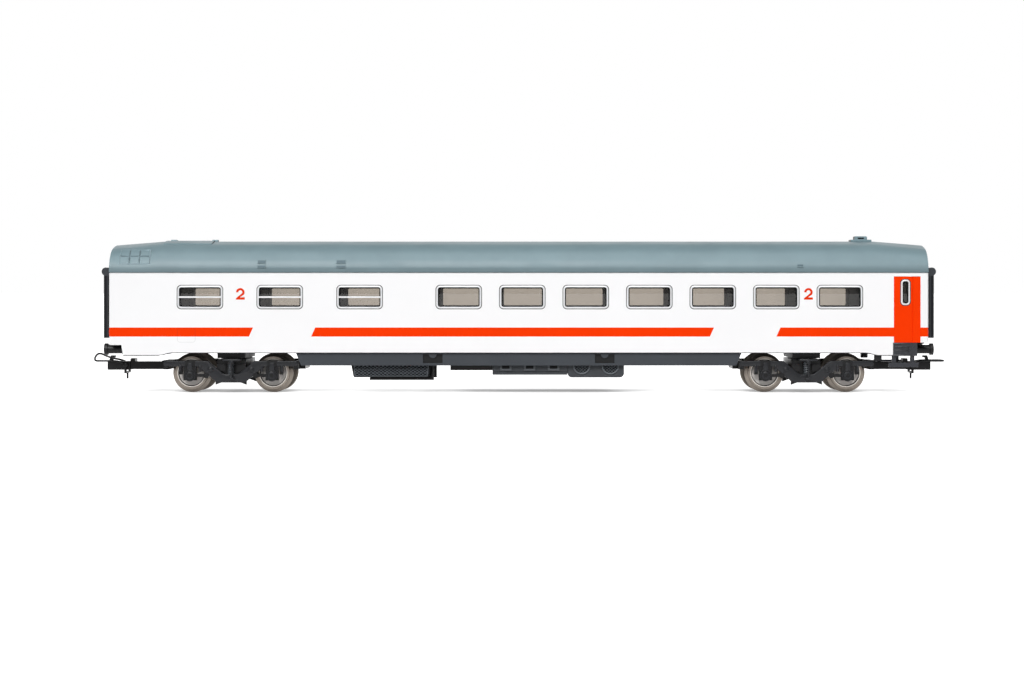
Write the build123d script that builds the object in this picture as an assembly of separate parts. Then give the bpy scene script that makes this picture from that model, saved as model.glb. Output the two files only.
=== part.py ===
from build123d import *
from math import hypot
import os

# Model railway coach of H0 size, 16.5 mm gauge
# X runs along the coach, -Y is the near side, Z is up
# The origin is on the floor under the wheels, at mid length
# Places along the coach are given from the body's ends, heights from what carries the piece

# Body shell
BODY_LENGTH = 276.2
BODY_WIDTH = 32.5
BODY_HEIGHT = 27.19
SHELL_WALL = 1.2
SIDE_OVERHANG = 0.75
END_DEEPER = 0.85
RAMP_FROM_END = 16.5
RAMP_LENGTH = 5.0
END_NOTCH_GAP = 0.05
END_NOTCH_LENGTH = 4.2
END_NOTCH_SLANT = 0.6
CORNER_RADIUS = 0.7
ROOF_JOINT_HEIGHT = 0.2
ROOF_JOINT_DEPTH = 0.3

# Roof
ROOF_RISE = 10.86
ROOF_CROWN_RADIUS = 35.0
ROOF_WALL = 1.2
ROOF_SLOPE_LENGTH = 16.3
ROOF_END_DROP = 1.3
ROOF_PAD_HEIGHT = 0.3
ROOF_HATCH_FROM_END = 17.1
ROOF_HATCH_LENGTH = 16.5
ROOF_HATCH_WIDTH = 18.0

# Saloon windows
WINDOW_WIDTH = 15.7
WINDOW_HEIGHT = 8.1
WINDOW_DROP = 8.24
WINDOW_RADIUS = 1.3
FRAME_BORDER = 0.95
FRAME_LAP = 0.45
FRAME_PROUD = 0.25
FRAME_DEPTH = 0.9
BAR_THICKNESS = 0.65
BARRED_FROM_END = 30.7
BARRED_PITCH = 26.9
BARRED_COUNT = 3
PLAIN_FROM_END = 29.9
PLAIN_PITCH = 21.4
GROUP_SPACE = 33.4

# Glazing
GLAZING_THICKNESS = 0.8
GLAZING_LAP = 1.2
PANE_RECESS = 0.35
SLIDE_FIT = 0.05

# Entrance doors at the right end
DOOR_FROM_END = 2.7
DOOR_WIDTH = 9.0
DOOR_RAISE = 3.6
DOOR_DROP = 1.28
DOOR_RECESS = 0.2
DOOR_FOLD_SPACE = 2.7
DOOR_FOLD_GROOVE = 0.25
DOOR_WINDOW_SPACE = 3.95
DOOR_WINDOW_DROP = 6.64
DOOR_WINDOW_WIDTH = 3.1
DOOR_WINDOW_HEIGHT = 8.6
DOOR_WINDOW_BORDER = 0.6

# Door steps
STEP_BOX_SPACE = 0.3
STEP_BOX_LENGTH = 6.3
STEP_BOX_HEIGHT = 4.5
STEP_BOX_DEPTH = 2.4
STEP_END_LENGTH = 2.0
STEP_END_SETBACK = 0.5
STEP_TREAD_HEIGHT = 1.5
STEP_LIP_HEIGHT = 0.7
STEP_PANEL_INSET = 0.9
STEP_PANEL_DEPTH = 0.35
STEP_GAP = 2.25
STEP_PLATE_SPACE = 1.9
STEP_PLATE_LENGTH = 10.4
STEP_PLATE_THICKNESS = 1.5
STEP_PLATE_DEPTH = 1.7
STEP_PLATE_SLANT = 0.4
STEP_HANGER_WIDTH = 1.4
STEP_HANGER_INSET = 1.4

# Underframe
WHEEL_ROOM = 0.9
FLOOR_THICKNESS = 1.2
FLOOR_FIT = 0.1
SKIRT_DEPTH = 4.15
SKIRT_SETBACK = 0.75
SKIRT_WALL = 1.5
SKIRT_OVER_NOSE = 2.2
SKIRT_SLANT = 1.7
CLIP_SPACING = 58.0
CLIP_WIDTH = 6.6
CLIP_DROP = 0.35
CLIP_HEIGHT = 3.0
CLIP_DEPTH = 0.7
CLIP_RADIUS = 1.3
HEADSTOCK_SETBACK = 4.1
HEADSTOCK_THICKNESS = 2.0
HEADSTOCK_DROP = 0.7
HEADSTOCK_INSET = 2.15
SHELF_THICKNESS = 1.2
SHELF_GAP = 0.05
BOLSTER_SHORTER = 0.2
BOLSTER_INSET = 2.45
BOLSTER_GAP = 0.4

# Ballast weight on the floor
BALLAST_INSET = 0.1
BALLAST_SIDE_SPACE = 2.95
BALLAST_THICKNESS = 1.5

# Equipment under the floor, in a row from left to right
EQUIPMENT_LEFT_SHARE = 0.3184
BOX_SIDE_GAP = 0.6
BOX_GAP = 0.1
RELIEF = 0.35
BATTERY_LENGTH = 26.95
BATTERY_DEPTH = 3.2
BATTERY_DROP = 4.05
BATTERY_TAPER = 0.8
BATTERY_ROUND = 0.6
BATTERY_BORDER = 0.6
PIPE_SIZE = 0.7
PIPE_SHORTER = 6.0
PIPE_REACH = 0.85
PIPE_GAP = 0.3
PIPE_SIDE_GAP = 2.9
VALVE_SPACE = 6.5
VALVE_LENGTH = 14.2
VALVE_DROP = 1.7
VALVE_SIDE_GAP = 1.4
HATCH_BOX_LENGTH = 25.3
HATCH_BOX_DROP = 3.2
HATCH_FIRST = 4.5
HATCH_PITCH = 8.1
HATCH_COUNT = 3
HATCH_WIDTH = 4.3
HATCH_RAISE = 1.45
HATCH_HEIGHT = 3.4
HATCH_RIM = 0.9
HATCH_ROUND = 1.2
LEDGE_RAISE = 0.85
LEDGE_HEIGHT = 0.25
FAN_BOX_LENGTH = 19.1
FAN_BOX_DROP = 4.1
FAN_BOX_RADIUS = 1.5
FAN_FIRST = 4.75
FAN_PITCH = 9.7
FAN_COUNT = 2
FAN_RADIUS = 2.95
FAN_RIM = 0.5
FAN_RAISE = 4.0

# Buffers
BUFFER_REACH = 2.9
BUFFER_SPACING = 20.0
BUFFER_RAISE = 1.25
BUFFER_HEAD_RADIUS = 2.0
BUFFER_HEAD_THICKNESS = 1.4
BUFFER_DOME = 0.3
BUFFER_STOCK_RADIUS = 1.5
BUFFER_FLANGE_RADIUS = 1.9
BUFFER_FLANGE_THICKNESS = 0.6

# Gangways
GANGWAY_DEPTH = 3.1
GANGWAY_TUBE_SPACING = 18.0
GANGWAY_TUBE_WIDTH = 2.8
GANGWAY_TUBE_ROUND = 1.0
GANGWAY_RAISE = 5.05
GANGWAY_ROLL_RAISE = 0.41
GANGWAY_ROLL_RADIUS = 1.4
GANGWAY_ROLL_REACH = 2.25
GANGWAY_WEB_HEIGHT = 1.4
END_DOOR_WIDTH = 12.0
END_DOOR_RECESS = 0.4

# Roof ventilator
VENT_FROM_END = 20.55
VENT_BASE_LENGTH = 7.1
VENT_BASE_WIDTH = 5.0
VENT_BASE_HEIGHT = 0.6
VENT_CAP_LENGTH = 4.3
VENT_CAP_WIDTH = 3.6
VENT_CAP_HEIGHT = 1.2
VENT_CAP_ROUND = 0.4

# Wheelsets
WHEEL_TREAD_RADIUS = 5.55
FLANGE_HEIGHT = 1.1
WHEEL_BACK_TO_BACK = 14.4
WHEEL_WIDTH = 2.85
FLANGE_THICKNESS = 0.9
TYRE_THICKNESS = 1.0
TYRE_GROOVE_WIDTH = 0.35
TYRE_GROOVE_DEPTH = 0.8
WHEEL_RECESS = 0.35
HUB_RADIUS = 1.7
AXLE_RADIUS = 1.0
AXLE_PIN_RADIUS = 0.5
AXLE_PIN_LENGTH = 1.2
AXLE_PIN_ENTRY = 0.9
AXLE_PIN_FIT = 0.05

# Bogies, lengths from the pivot and heights from the axles
BOGIE_FROM_END = 40.7
BOGIE_WHEELBASE = 27.75
FRAME_WHEEL_GAP = 1.65
SIDE_FRAME_WALL = 1.5
SIDE_FRAME_RISE = 4.15
SIDE_ARM_DEPTH = 1.8
BEAM_DROP = 0.45
BEAM_DEPTH = 2.7
BEAM_FLAT = 4.8
BEAM_SLOPE_RUN = 5.5
BEAM_ROUND = 0.8
TRANSOM_WHEEL_GAP = 2.325
CROSSBEAM_WHEEL_GAP = 0.675
CROSSBEAM_LENGTH = 1.6
CROSSBEAM_RAISE = 1.25
CROSSBEAM_DEPTH = 2.8
NOSE_LENGTH = 1.7
NOSE_WIDTH = 14.0
PEDESTAL_WIDTH = 4.4
PEDESTAL_DEPTH = 1.65
AXLE_BOX_DROP = 0.8
AXLE_BOX_RADIUS = 1.95
AXLE_BOX_PROUD = 0.45
AXLE_COVER_RADIUS = 0.95
AXLE_COVER_PROUD = 0.8
HOUSING_WIDTH = 3.3
HOUSING_PROUD = 0.35
GUIDE_ARM_LENGTH = 5.5
GUIDE_ARM_DEPTH = 1.0
GUIDE_BUSH_RADIUS = 0.9
HANGER_OFFSET = 2.6
HANGER_WIDTH = 1.2
HANGER_LENGTH = 2.8
BOLT_OFFSET = 6.9
BOLT_RAISE = 1.55
BOLT_RADIUS = 0.75
BOLT_PROUD = 0.25
LUG_OFFSET = 5.2
LUG_WIDTH = 2.0
LUG_DEPTH = 0.75
LUG_ROOT = 0.9
TRANSOM_DROP = 2.05
TRANSOM_RISE = 4.65
TRANSOM_SIDE_GAP = 0.3
SPRING_BOX_START = 1.9
SPRING_BOX_LENGTH = 3.0
SPRING_BOX_PROUD = 0.9
SPRING_BOX_RAISE = 1.0
SPRING_BOX_HEIGHT = 2.4
SPRING_SEAT_WIDTH = 5.6
SPRING_SEAT_THICKNESS = 0.7
SPRING_OFFSET = 1.05
SPRING_RADIUS = 1.1
SPRING_CORE_RADIUS = 0.75
SPRING_COILS = 5
PIVOT_RADIUS = 1.6
PIVOT_FIT = 0.05
PIVOT_HEAD_RADIUS = 2.6
PIVOT_HEAD_THICKNESS = 0.8
PIVOT_HEAD_GAP = 0.3

# Couplers
HEAD_SETBACK = 4.5
HEAD_REACH = 3.2
HEAD_WIDTH = 6.0
HEAD_RAISE = 0.75
HEAD_DEPTH = 2.9
DRAWBAR_WIDTH = 4.4
DRAWBAR_RAISE = 0.2
DRAWBAR_DEPTH = 2.6
HOOK_HEIGHT = 2.0
HOOK_WIDTH = 1.6
HOOK_LENGTH = 2.2
HOOK_NECK = 1.35
HOOK_TIP = 0.7
CLIP_BLOCK_LENGTH = 1.6
CLIP_BLOCK_HEIGHT = 1.1
LOOP_PIVOT_SETBACK = 3.1
LOOP_PIVOT_RAISE = 1.7
LOOP_REACH = 8.3
LOOP_RAISE = 0.2
LOOP_SIDE_GAP = 0.3
LOOP_WIRE_RADIUS = 0.35
LOOP_BEND_RADIUS = 0.8
LOOP_KNEE = 1.6
TWIST_KNEE_REACH = 3.7
TWIST_KNEE_RAISE = 1.4
TWIST_REACH = 7.8
TWIST_RAISE = 3.0
LOOP_PIN_RADIUS = 0.45
LOOP_PIN_FIT = 0.05
LOOP_PIN_ENTRY = 0.7
STIRRUP_GAP = 0.5
STIRRUP_THICKNESS = 0.7
STIRRUP_LENGTH = 0.8
TRIP_PIN_RADIUS = 0.4
TRIP_PIN_LENGTH = 1.9

# Margin by which a cutting block stands past the face that it cuts
CUT = 1.0

# Heights, from the floor upwards
WHEEL_FLANGE_RADIUS = WHEEL_TREAD_RADIUS + FLANGE_HEIGHT
AXLE_HEIGHT = WHEEL_FLANGE_RADIUS
FLOOR_BOTTOM = 2 * WHEEL_FLANGE_RADIUS + WHEEL_ROOM
FLOOR_TOP = FLOOR_BOTTOM + FLOOR_THICKNESS
BODY_BOTTOM = FLOOR_BOTTOM - SIDE_OVERHANG
END_BOTTOM = BODY_BOTTOM - END_DEEPER
GUTTER_HEIGHT = BODY_BOTTOM + BODY_HEIGHT
ROOF_TOP = GUTTER_HEIGHT + ROOF_RISE
WINDOW_Z = GUTTER_HEIGHT - WINDOW_DROP
DOOR_BOTTOM = BODY_BOTTOM + DOOR_RAISE
DOOR_TOP = GUTTER_HEIGHT - DOOR_DROP
DOOR_WINDOW_Z = GUTTER_HEIGHT - DOOR_WINDOW_DROP
STEP_BOX_BOTTOM = DOOR_BOTTOM - STEP_BOX_HEIGHT
STEP_PLATE_TOP = STEP_BOX_BOTTOM - STEP_GAP
STEP_PLATE_BOTTOM = STEP_PLATE_TOP - STEP_PLATE_THICKNESS
SKIRT_BOTTOM = BODY_BOTTOM - SKIRT_DEPTH
CLIP_TOP = BODY_BOTTOM - CLIP_DROP
CLIP_BOTTOM = CLIP_TOP - CLIP_HEIGHT
HEADSTOCK_BOTTOM = BODY_BOTTOM - HEADSTOCK_DROP
BUFFER_Z = BODY_BOTTOM + BUFFER_RAISE
END_NOTCH_TOP = BUFFER_Z + BUFFER_STOCK_RADIUS + END_NOTCH_GAP
SHELF_BOTTOM = BUFFER_Z + BUFFER_FLANGE_RADIUS + SHELF_GAP
BATTERY_BOTTOM = SKIRT_BOTTOM - BATTERY_DROP
PIPE_BOTTOM = BATTERY_BOTTOM - PIPE_GAP - PIPE_SIZE
VALVE_BOTTOM = SKIRT_BOTTOM - VALVE_DROP
HATCH_BOX_BOTTOM = SKIRT_BOTTOM - HATCH_BOX_DROP
FAN_BOX_BOTTOM = SKIRT_BOTTOM - FAN_BOX_DROP
FAN_Z = FAN_BOX_BOTTOM + FAN_RAISE
GANGWAY_BOTTOM = BODY_BOTTOM + GANGWAY_RAISE
GANGWAY_ROLL_Z = GUTTER_HEIGHT + GANGWAY_ROLL_RAISE
SIDE_FRAME_TOP = AXLE_HEIGHT + SIDE_FRAME_RISE
SIDE_ARM_BOTTOM = SIDE_FRAME_TOP - SIDE_ARM_DEPTH
BEAM_TOP = AXLE_HEIGHT - BEAM_DROP
BEAM_BOTTOM = BEAM_TOP - BEAM_DEPTH
CROSSBEAM_BOTTOM = AXLE_HEIGHT + CROSSBEAM_RAISE
CROSSBEAM_TOP = CROSSBEAM_BOTTOM + CROSSBEAM_DEPTH
AXLE_BOX_Z = AXLE_HEIGHT - AXLE_BOX_DROP
TRANSOM_BOTTOM = AXLE_HEIGHT - TRANSOM_DROP
TRANSOM_TOP = AXLE_HEIGHT + TRANSOM_RISE
BOLSTER_BOTTOM = TRANSOM_TOP + BOLSTER_GAP
SPRING_TOP = TRANSOM_TOP - SPRING_SEAT_THICKNESS
SPRING_BOX_BOTTOM = BEAM_TOP + SPRING_BOX_RAISE
HEAD_BOTTOM = AXLE_HEIGHT + HEAD_RAISE
HEAD_TOP = HEAD_BOTTOM + HEAD_DEPTH
HOOK_TOP = HEAD_TOP + HOOK_HEIGHT
DRAWBAR_BOTTOM = HEAD_BOTTOM + DRAWBAR_RAISE
DRAWBAR_TOP = DRAWBAR_BOTTOM + DRAWBAR_DEPTH
LOOP_PIVOT_Z = HEAD_BOTTOM + LOOP_PIVOT_RAISE
LOOP_Z = HEAD_TOP + LOOP_RAISE
STIRRUP_TOP = HEAD_BOTTOM - STIRRUP_GAP
STIRRUP_BOTTOM = STIRRUP_TOP - STIRRUP_THICKNESS

# Widths, from the centre line outwards
SIDE = BODY_WIDTH / 2
SIDE_INNER = SIDE - SHELL_WALL
DOOR_FACE = SIDE - DOOR_RECESS
STEP_FACE = SIDE - FLOOR_FIT
FLOOR_HALF_WIDTH = SIDE_INNER - FLOOR_FIT
SKIRT_OUTER = SIDE - SKIRT_SETBACK
SKIRT_INNER = SKIRT_OUTER - SKIRT_WALL
BOX_FACE = SKIRT_INNER - BOX_SIDE_GAP
PIPE_Y = BOX_FACE - PIPE_SIDE_GAP
VALVE_FACE = BOX_FACE - VALVE_SIDE_GAP
WHEEL_INNER = WHEEL_BACK_TO_BACK / 2
WHEEL_OUTER = WHEEL_INNER + WHEEL_WIDTH
SIDE_FRAME_INNER = WHEEL_OUTER + FRAME_WHEEL_GAP
SIDE_FRAME_FACE = SIDE_FRAME_INNER + SIDE_FRAME_WALL
AXLE_HALF_LENGTH = SIDE_FRAME_INNER + AXLE_PIN_ENTRY
TRANSOM_FACE = SIDE_FRAME_INNER - TRANSOM_SIDE_GAP
SPRING_Y = SIDE_FRAME_INNER + SPRING_OFFSET
LOOP_HALF_WIDTH = HEAD_WIDTH / 2 + LOOP_SIDE_GAP + LOOP_WIRE_RADIUS

# Places along the coach
BODY_HALF = BODY_LENGTH / 2
RAMP_OUTER = BODY_HALF - RAMP_FROM_END
RAMP_INNER = RAMP_OUTER - RAMP_LENGTH
ROOF_LEVEL_HALF = BODY_HALF - ROOF_SLOPE_LENGTH
DOOR_RIGHT = BODY_HALF - DOOR_FROM_END
DOOR_LEFT = DOOR_RIGHT - DOOR_WIDTH
DOOR_FOLD = DOOR_RIGHT - DOOR_FOLD_SPACE
DOOR_WINDOW_X = DOOR_LEFT + DOOR_WINDOW_SPACE
STEP_BOX_LEFT = DOOR_LEFT - STEP_BOX_SPACE
STEP_BOX_RIGHT = STEP_BOX_LEFT + STEP_BOX_LENGTH
STEP_END_RIGHT = STEP_BOX_RIGHT + STEP_END_LENGTH
STEP_PLATE_LEFT = DOOR_LEFT - STEP_PLATE_SPACE
STEP_PLATE_RIGHT = STEP_PLATE_LEFT + STEP_PLATE_LENGTH
HEADSTOCK_FACE = BODY_HALF - HEADSTOCK_SETBACK
HEADSTOCK_BACK = HEADSTOCK_FACE - HEADSTOCK_THICKNESS
BUFFER_FACE = BODY_HALF + BUFFER_REACH
VENT_X = BODY_HALF - VENT_FROM_END
BOGIE_PIVOT_X = BODY_HALF - BOGIE_FROM_END
WHEELBASE_HALF = BOGIE_WHEELBASE / 2
TRANSOM_HALF = WHEELBASE_HALF - WHEEL_FLANGE_RADIUS - TRANSOM_WHEEL_GAP
BOLSTER_HALF = TRANSOM_HALF - BOLSTER_SHORTER
CROSSBEAM_START = WHEELBASE_HALF + WHEEL_FLANGE_RADIUS + CROSSBEAM_WHEEL_GAP
CROSSBEAM_END = CROSSBEAM_START + CROSSBEAM_LENGTH
NOSE_END = CROSSBEAM_END + NOSE_LENGTH
SKIRT_HALF = BOGIE_PIVOT_X - NOSE_END + SKIRT_OVER_NOSE
HEAD_START = BODY_HALF - HEAD_SETBACK
HEAD_FACE = BODY_HALF + HEAD_REACH
LOOP_PIVOT_X = BODY_HALF - LOOP_PIVOT_SETBACK
LOOP_FRONT = BODY_HALF + LOOP_REACH

# Equipment row: its free length is shared out to the left and right of it
EQUIPMENT_LENGTH = (BATTERY_LENGTH + VALVE_SPACE + VALVE_LENGTH + HATCH_BOX_LENGTH + FAN_BOX_LENGTH
                    + 2 * BOX_GAP)
BATTERY_LEFT = -SKIRT_HALF + EQUIPMENT_LEFT_SHARE * (2 * SKIRT_HALF - EQUIPMENT_LENGTH)
BATTERY_RIGHT = BATTERY_LEFT + BATTERY_LENGTH
PIPE_RIGHT = BATTERY_RIGHT + PIPE_REACH
PIPE_LEFT = BATTERY_LEFT + PIPE_SHORTER
VALVE_LEFT = BATTERY_RIGHT + VALVE_SPACE
VALVE_RIGHT = VALVE_LEFT + VALVE_LENGTH
HATCH_BOX_LEFT = VALVE_RIGHT + BOX_GAP
HATCH_BOX_RIGHT = HATCH_BOX_LEFT + HATCH_BOX_LENGTH
FAN_BOX_LEFT = HATCH_BOX_RIGHT + BOX_GAP
FAN_BOX_RIGHT = FAN_BOX_LEFT + FAN_BOX_LENGTH

# Windows: the barred ones from the left end, the plain ones from the right end
BARRED_FIRST = -BODY_HALF + BARRED_FROM_END
BARRED_LAST = BARRED_FIRST + (BARRED_COUNT - 1) * BARRED_PITCH
PLAIN_LAST = BODY_HALF - PLAIN_FROM_END
PLAIN_COUNT = int((PLAIN_LAST - BARRED_LAST - GROUP_SPACE) / PLAIN_PITCH + 0.01) + 1
BARRED_WINDOWS = [BARRED_FIRST + i * BARRED_PITCH for i in range(BARRED_COUNT)]
PLAIN_WINDOWS = [PLAIN_LAST - i * PLAIN_PITCH for i in range(PLAIN_COUNT)]
OPENING_WIDTH = WINDOW_WIDTH - 2 * FRAME_LAP
OPENING_HEIGHT = WINDOW_HEIGHT - 2 * FRAME_LAP
OPENING_RADIUS = WINDOW_RADIUS - FRAME_LAP
PANE_WIDTH = WINDOW_WIDTH - 2 * FRAME_BORDER
PANE_HEIGHT = WINDOW_HEIGHT - 2 * FRAME_BORDER
PANE_RADIUS = OPENING_RADIUS / 2
DOOR_PANE_WIDTH = DOOR_WINDOW_WIDTH - 2 * DOOR_WINDOW_BORDER
DOOR_PANE_HEIGHT = DOOR_WINDOW_HEIGHT - 2 * DOOR_WINDOW_BORDER
DOOR_PANE_RADIUS = WINDOW_RADIUS - DOOR_WINDOW_BORDER

# Raised pads on both roof shoulders: the end they are measured from (-1 left, 1 right),
# then lists of (from, to) lengths from that end and of (from, to) heights above the gutter
ROOF_PADS = [
    (-1, [(3.6, 6.6), (7.0, 10.0), (10.4, 13.6)], [(3.16, 5.26), (5.66, 7.66)]),
    (-1, [(50.0, 52.8), (76.5, 79.8)], [(1.56, 2.46), (3.06, 4.26)]),
    (1, [(42.2, 44.2)], [(1.76, 2.36)]),
]


def block(x0, x1, y0, y1, z0, z1):
    """Box between three pairs of planes."""
    size = Box(abs(x1 - x0), abs(y1 - y0), abs(z1 - z0))
    return Pos((x0 + x1) / 2, (y0 + y1) / 2, (z0 + z1) / 2) * size


def prism_y(outline, y0, y1, radius=0):
    """Prism along Y with an outline of (x, z) points, its corners rounded by radius."""
    points = [(x, y0, z) for x, z in outline]
    if radius:
        path = FilletPolyline(*points, radius=radius, close=True)
    else:
        path = Polyline(*points, close=True)
    direction = (0, 1 if y1 > y0 else -1, 0)
    return extrude(make_face(path.edges()), amount=abs(y1 - y0), dir=direction)


def panel(x, z, width, height, radius, y0, y1):
    """Block with rounded corners that faces Y."""
    plate = extrude(RectangleRounded(width, height, radius), amount=abs(y1 - y0) / 2, both=True)
    return Pos(x, (y0 + y1) / 2, z) * Rot(90, 0, 0) * plate


def disc_y(x, z, radius, y0, y1):
    """Cylinder along Y."""
    return Pos(x, (y0 + y1) / 2, z) * Rot(90, 0, 0) * Cylinder(radius, abs(y1 - y0))


def disc_z(x, y, radius, z0, z1):
    """Cylinder along Z."""
    return Pos(x, y, (z0 + z1) / 2) * Cylinder(radius, abs(z1 - z0))


def across(shape):
    """The same shape on the far side."""
    return mirror(shape, about=Plane.XZ)


def other_end(shape):
    """The same shape at the other end."""
    return mirror(shape, about=Plane.YZ)


def solids_of(shapes):
    """Compound of the solids of several shapes."""
    return Compound([solid for shape in shapes for solid in shape.solids()])


def save(name, shape):
    """Write one piece."""
    solids = shape.solids()
    export_step(solids[0] if len(solids) == 1 else Compound(solids), f"parts/{name}.step")


def roof_face(x, rise, inset):
    """Roof section across the coach at x: two shoulder arcs and a crown arc, moved inwards by inset."""
    centre_z = GUTTER_HEIGHT + rise - ROOF_CROWN_RADIUS
    drop = GUTTER_HEIGHT - centre_z
    shoulder = (ROOF_CROWN_RADIUS**2 - SIDE**2 - drop**2) / (2 * (ROOF_CROWN_RADIUS - SIDE))
    shoulder_y = SIDE - shoulder
    reach = hypot(shoulder_y, drop)
    crown = ROOF_CROWN_RADIUS - inset
    tangent_y = crown * shoulder_y / reach
    tangent_z = centre_z + crown * drop / reach
    gutter_y = SIDE - inset
    near = (x, -gutter_y, GUTTER_HEIGHT)
    far = (x, gutter_y, GUTTER_HEIGHT)
    near_tangent = (x, -tangent_y, tangent_z)
    far_tangent = (x, tangent_y, tangent_z)
    near_arc = TangentArc(near, near_tangent, tangent=(0, 0, 1))
    crown_arc = ThreePointArc(near_tangent, (x, 0, centre_z + crown), far_tangent)
    far_arc = TangentArc(far, far_tangent, tangent=(0, 0, 1))
    return make_face([near_arc, crown_arc, far_arc, Line(far, near)])


def roof_solid(inset, half_length):
    """Roof form: level in the middle, dropping towards both ends."""
    first = roof_face(-ROOF_LEVEL_HALF, ROOF_RISE, inset)
    middle = extrude(first, amount=2 * ROOF_LEVEL_HALF, dir=(1, 0, 0))
    start = roof_face(ROOF_LEVEL_HALF, ROOF_RISE, inset)
    finish = roof_face(half_length, ROOF_RISE - ROOF_END_DROP, inset)
    end = loft([start, finish], ruled=True)
    return middle + end + other_end(end)


def make_roof():
    """Roof moulding with its hatch and the grilles on its shoulders."""
    outer = roof_solid(0, BODY_HALF)
    proud = roof_solid(-ROOF_PAD_HEIGHT, BODY_HALF)
    hatch_left = -BODY_HALF + ROOF_HATCH_FROM_END
    regions = block(hatch_left, hatch_left + ROOF_HATCH_LENGTH, -ROOF_HATCH_WIDTH / 2, ROOF_HATCH_WIDTH / 2,
                    GUTTER_HEIGHT, ROOF_TOP + CUT)
    for end, lengths, heights in ROOF_PADS:
        for start, stop in lengths:
            for low, high in heights:
                regions += block(end * (BODY_HALF - start), end * (BODY_HALF - stop), -BODY_WIDTH, BODY_WIDTH,
                                 GUTTER_HEIGHT + low, GUTTER_HEIGHT + high)
    return outer + (proud & regions) - roof_solid(ROOF_WALL, BODY_HALF - ROOF_WALL)


def make_ventilator():
    """Ventilator seated on the crown of the roof."""
    base_top = ROOF_TOP + VENT_BASE_HEIGHT
    base = block(VENT_X - VENT_BASE_LENGTH / 2, VENT_X + VENT_BASE_LENGTH / 2,
                 -VENT_BASE_WIDTH / 2, VENT_BASE_WIDTH / 2, ROOF_TOP - ROOF_WALL / 2, base_top)
    cap = block(VENT_X - VENT_CAP_LENGTH / 2, VENT_X + VENT_CAP_LENGTH / 2,
                -VENT_CAP_WIDTH / 2, VENT_CAP_WIDTH / 2, base_top, base_top + VENT_CAP_HEIGHT)
    cap = fillet(cap.edges().group_by(Axis.Z)[-1], VENT_CAP_ROUND)
    return base + cap - roof_solid(0, BODY_HALF)


def make_side_wall():
    """Near side wall with its windows, door and slanted lower edge."""
    outline = [
        (-BODY_HALF, GUTTER_HEIGHT),
        (-BODY_HALF, END_NOTCH_TOP),
        (-BODY_HALF + END_NOTCH_LENGTH, END_NOTCH_TOP),
        (-BODY_HALF + END_NOTCH_LENGTH + END_NOTCH_SLANT, END_BOTTOM),
        (-RAMP_OUTER, END_BOTTOM),
        (-RAMP_INNER, BODY_BOTTOM),
        (RAMP_INNER, BODY_BOTTOM),
        (RAMP_OUTER, END_BOTTOM),
        (STEP_BOX_LEFT, END_BOTTOM),
        (STEP_BOX_LEFT, DOOR_BOTTOM),
        (BODY_HALF, DOOR_BOTTOM),
        (BODY_HALF, GUTTER_HEIGHT),
    ]
    wall = prism_y(outline, -SIDE, -SIDE_INNER)
    cuts = []
    for x in BARRED_WINDOWS + PLAIN_WINDOWS:
        cuts.append(panel(x, WINDOW_Z, OPENING_WIDTH, OPENING_HEIGHT, OPENING_RADIUS,
                          -SIDE - CUT, -SIDE_INNER + CUT))
    cuts.append(block(DOOR_LEFT, DOOR_RIGHT, -SIDE - CUT, -DOOR_FACE, DOOR_BOTTOM - CUT, DOOR_TOP))
    cuts.append(block(DOOR_FOLD - DOOR_FOLD_GROOVE / 2, DOOR_FOLD + DOOR_FOLD_GROOVE / 2,
                      -SIDE, -DOOR_FACE + DOOR_FOLD_GROOVE, DOOR_BOTTOM - CUT, DOOR_TOP))
    cuts.append(panel(DOOR_WINDOW_X, DOOR_WINDOW_Z, DOOR_WINDOW_WIDTH - DOOR_WINDOW_BORDER,
                      DOOR_WINDOW_HEIGHT - DOOR_WINDOW_BORDER, OPENING_RADIUS,
                      -SIDE - CUT, -SIDE_INNER + CUT))
    return wall - cuts


def make_end_wall(bottom):
    """Right end wall above its headstock, with the gangway door's recess."""
    wall = block(BODY_HALF - SHELL_WALL, BODY_HALF, -SIDE_INNER, SIDE_INNER, bottom, GUTTER_HEIGHT)
    recess = block(BODY_HALF - END_DOOR_RECESS, BODY_HALF + CUT, -END_DOOR_WIDTH / 2, END_DOOR_WIDTH / 2,
                   GANGWAY_BOTTOM, GANGWAY_ROLL_Z - GANGWAY_ROLL_RADIUS)
    return wall - recess


def make_body_shell():
    """White shell: two side walls and two end walls, open above and below, with a joint under the roof."""
    near = make_side_wall()
    ends = make_end_wall(DOOR_BOTTOM) + other_end(make_end_wall(END_NOTCH_TOP))
    shell = near + across(near) + ends
    near_zero = CORNER_RADIUS / 10
    corners = [edge for edge in shell.edges().filter_by(Axis.Z)
               if abs(abs(edge.center().X) - BODY_HALF) < near_zero
               and abs(abs(edge.center().Y) - SIDE) < near_zero]
    shell = fillet(corners, CORNER_RADIUS)
    low = GUTTER_HEIGHT - ROOF_JOINT_HEIGHT
    high = GUTTER_HEIGHT + CUT
    side = block(-BODY_LENGTH, BODY_LENGTH, -SIDE + ROOF_JOINT_DEPTH, -BODY_WIDTH, low, high)
    end = block(BODY_HALF - ROOF_JOINT_DEPTH, BODY_LENGTH, -BODY_WIDTH, BODY_WIDTH, low, high)
    return shell - [side, across(side), end, other_end(end)]


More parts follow.
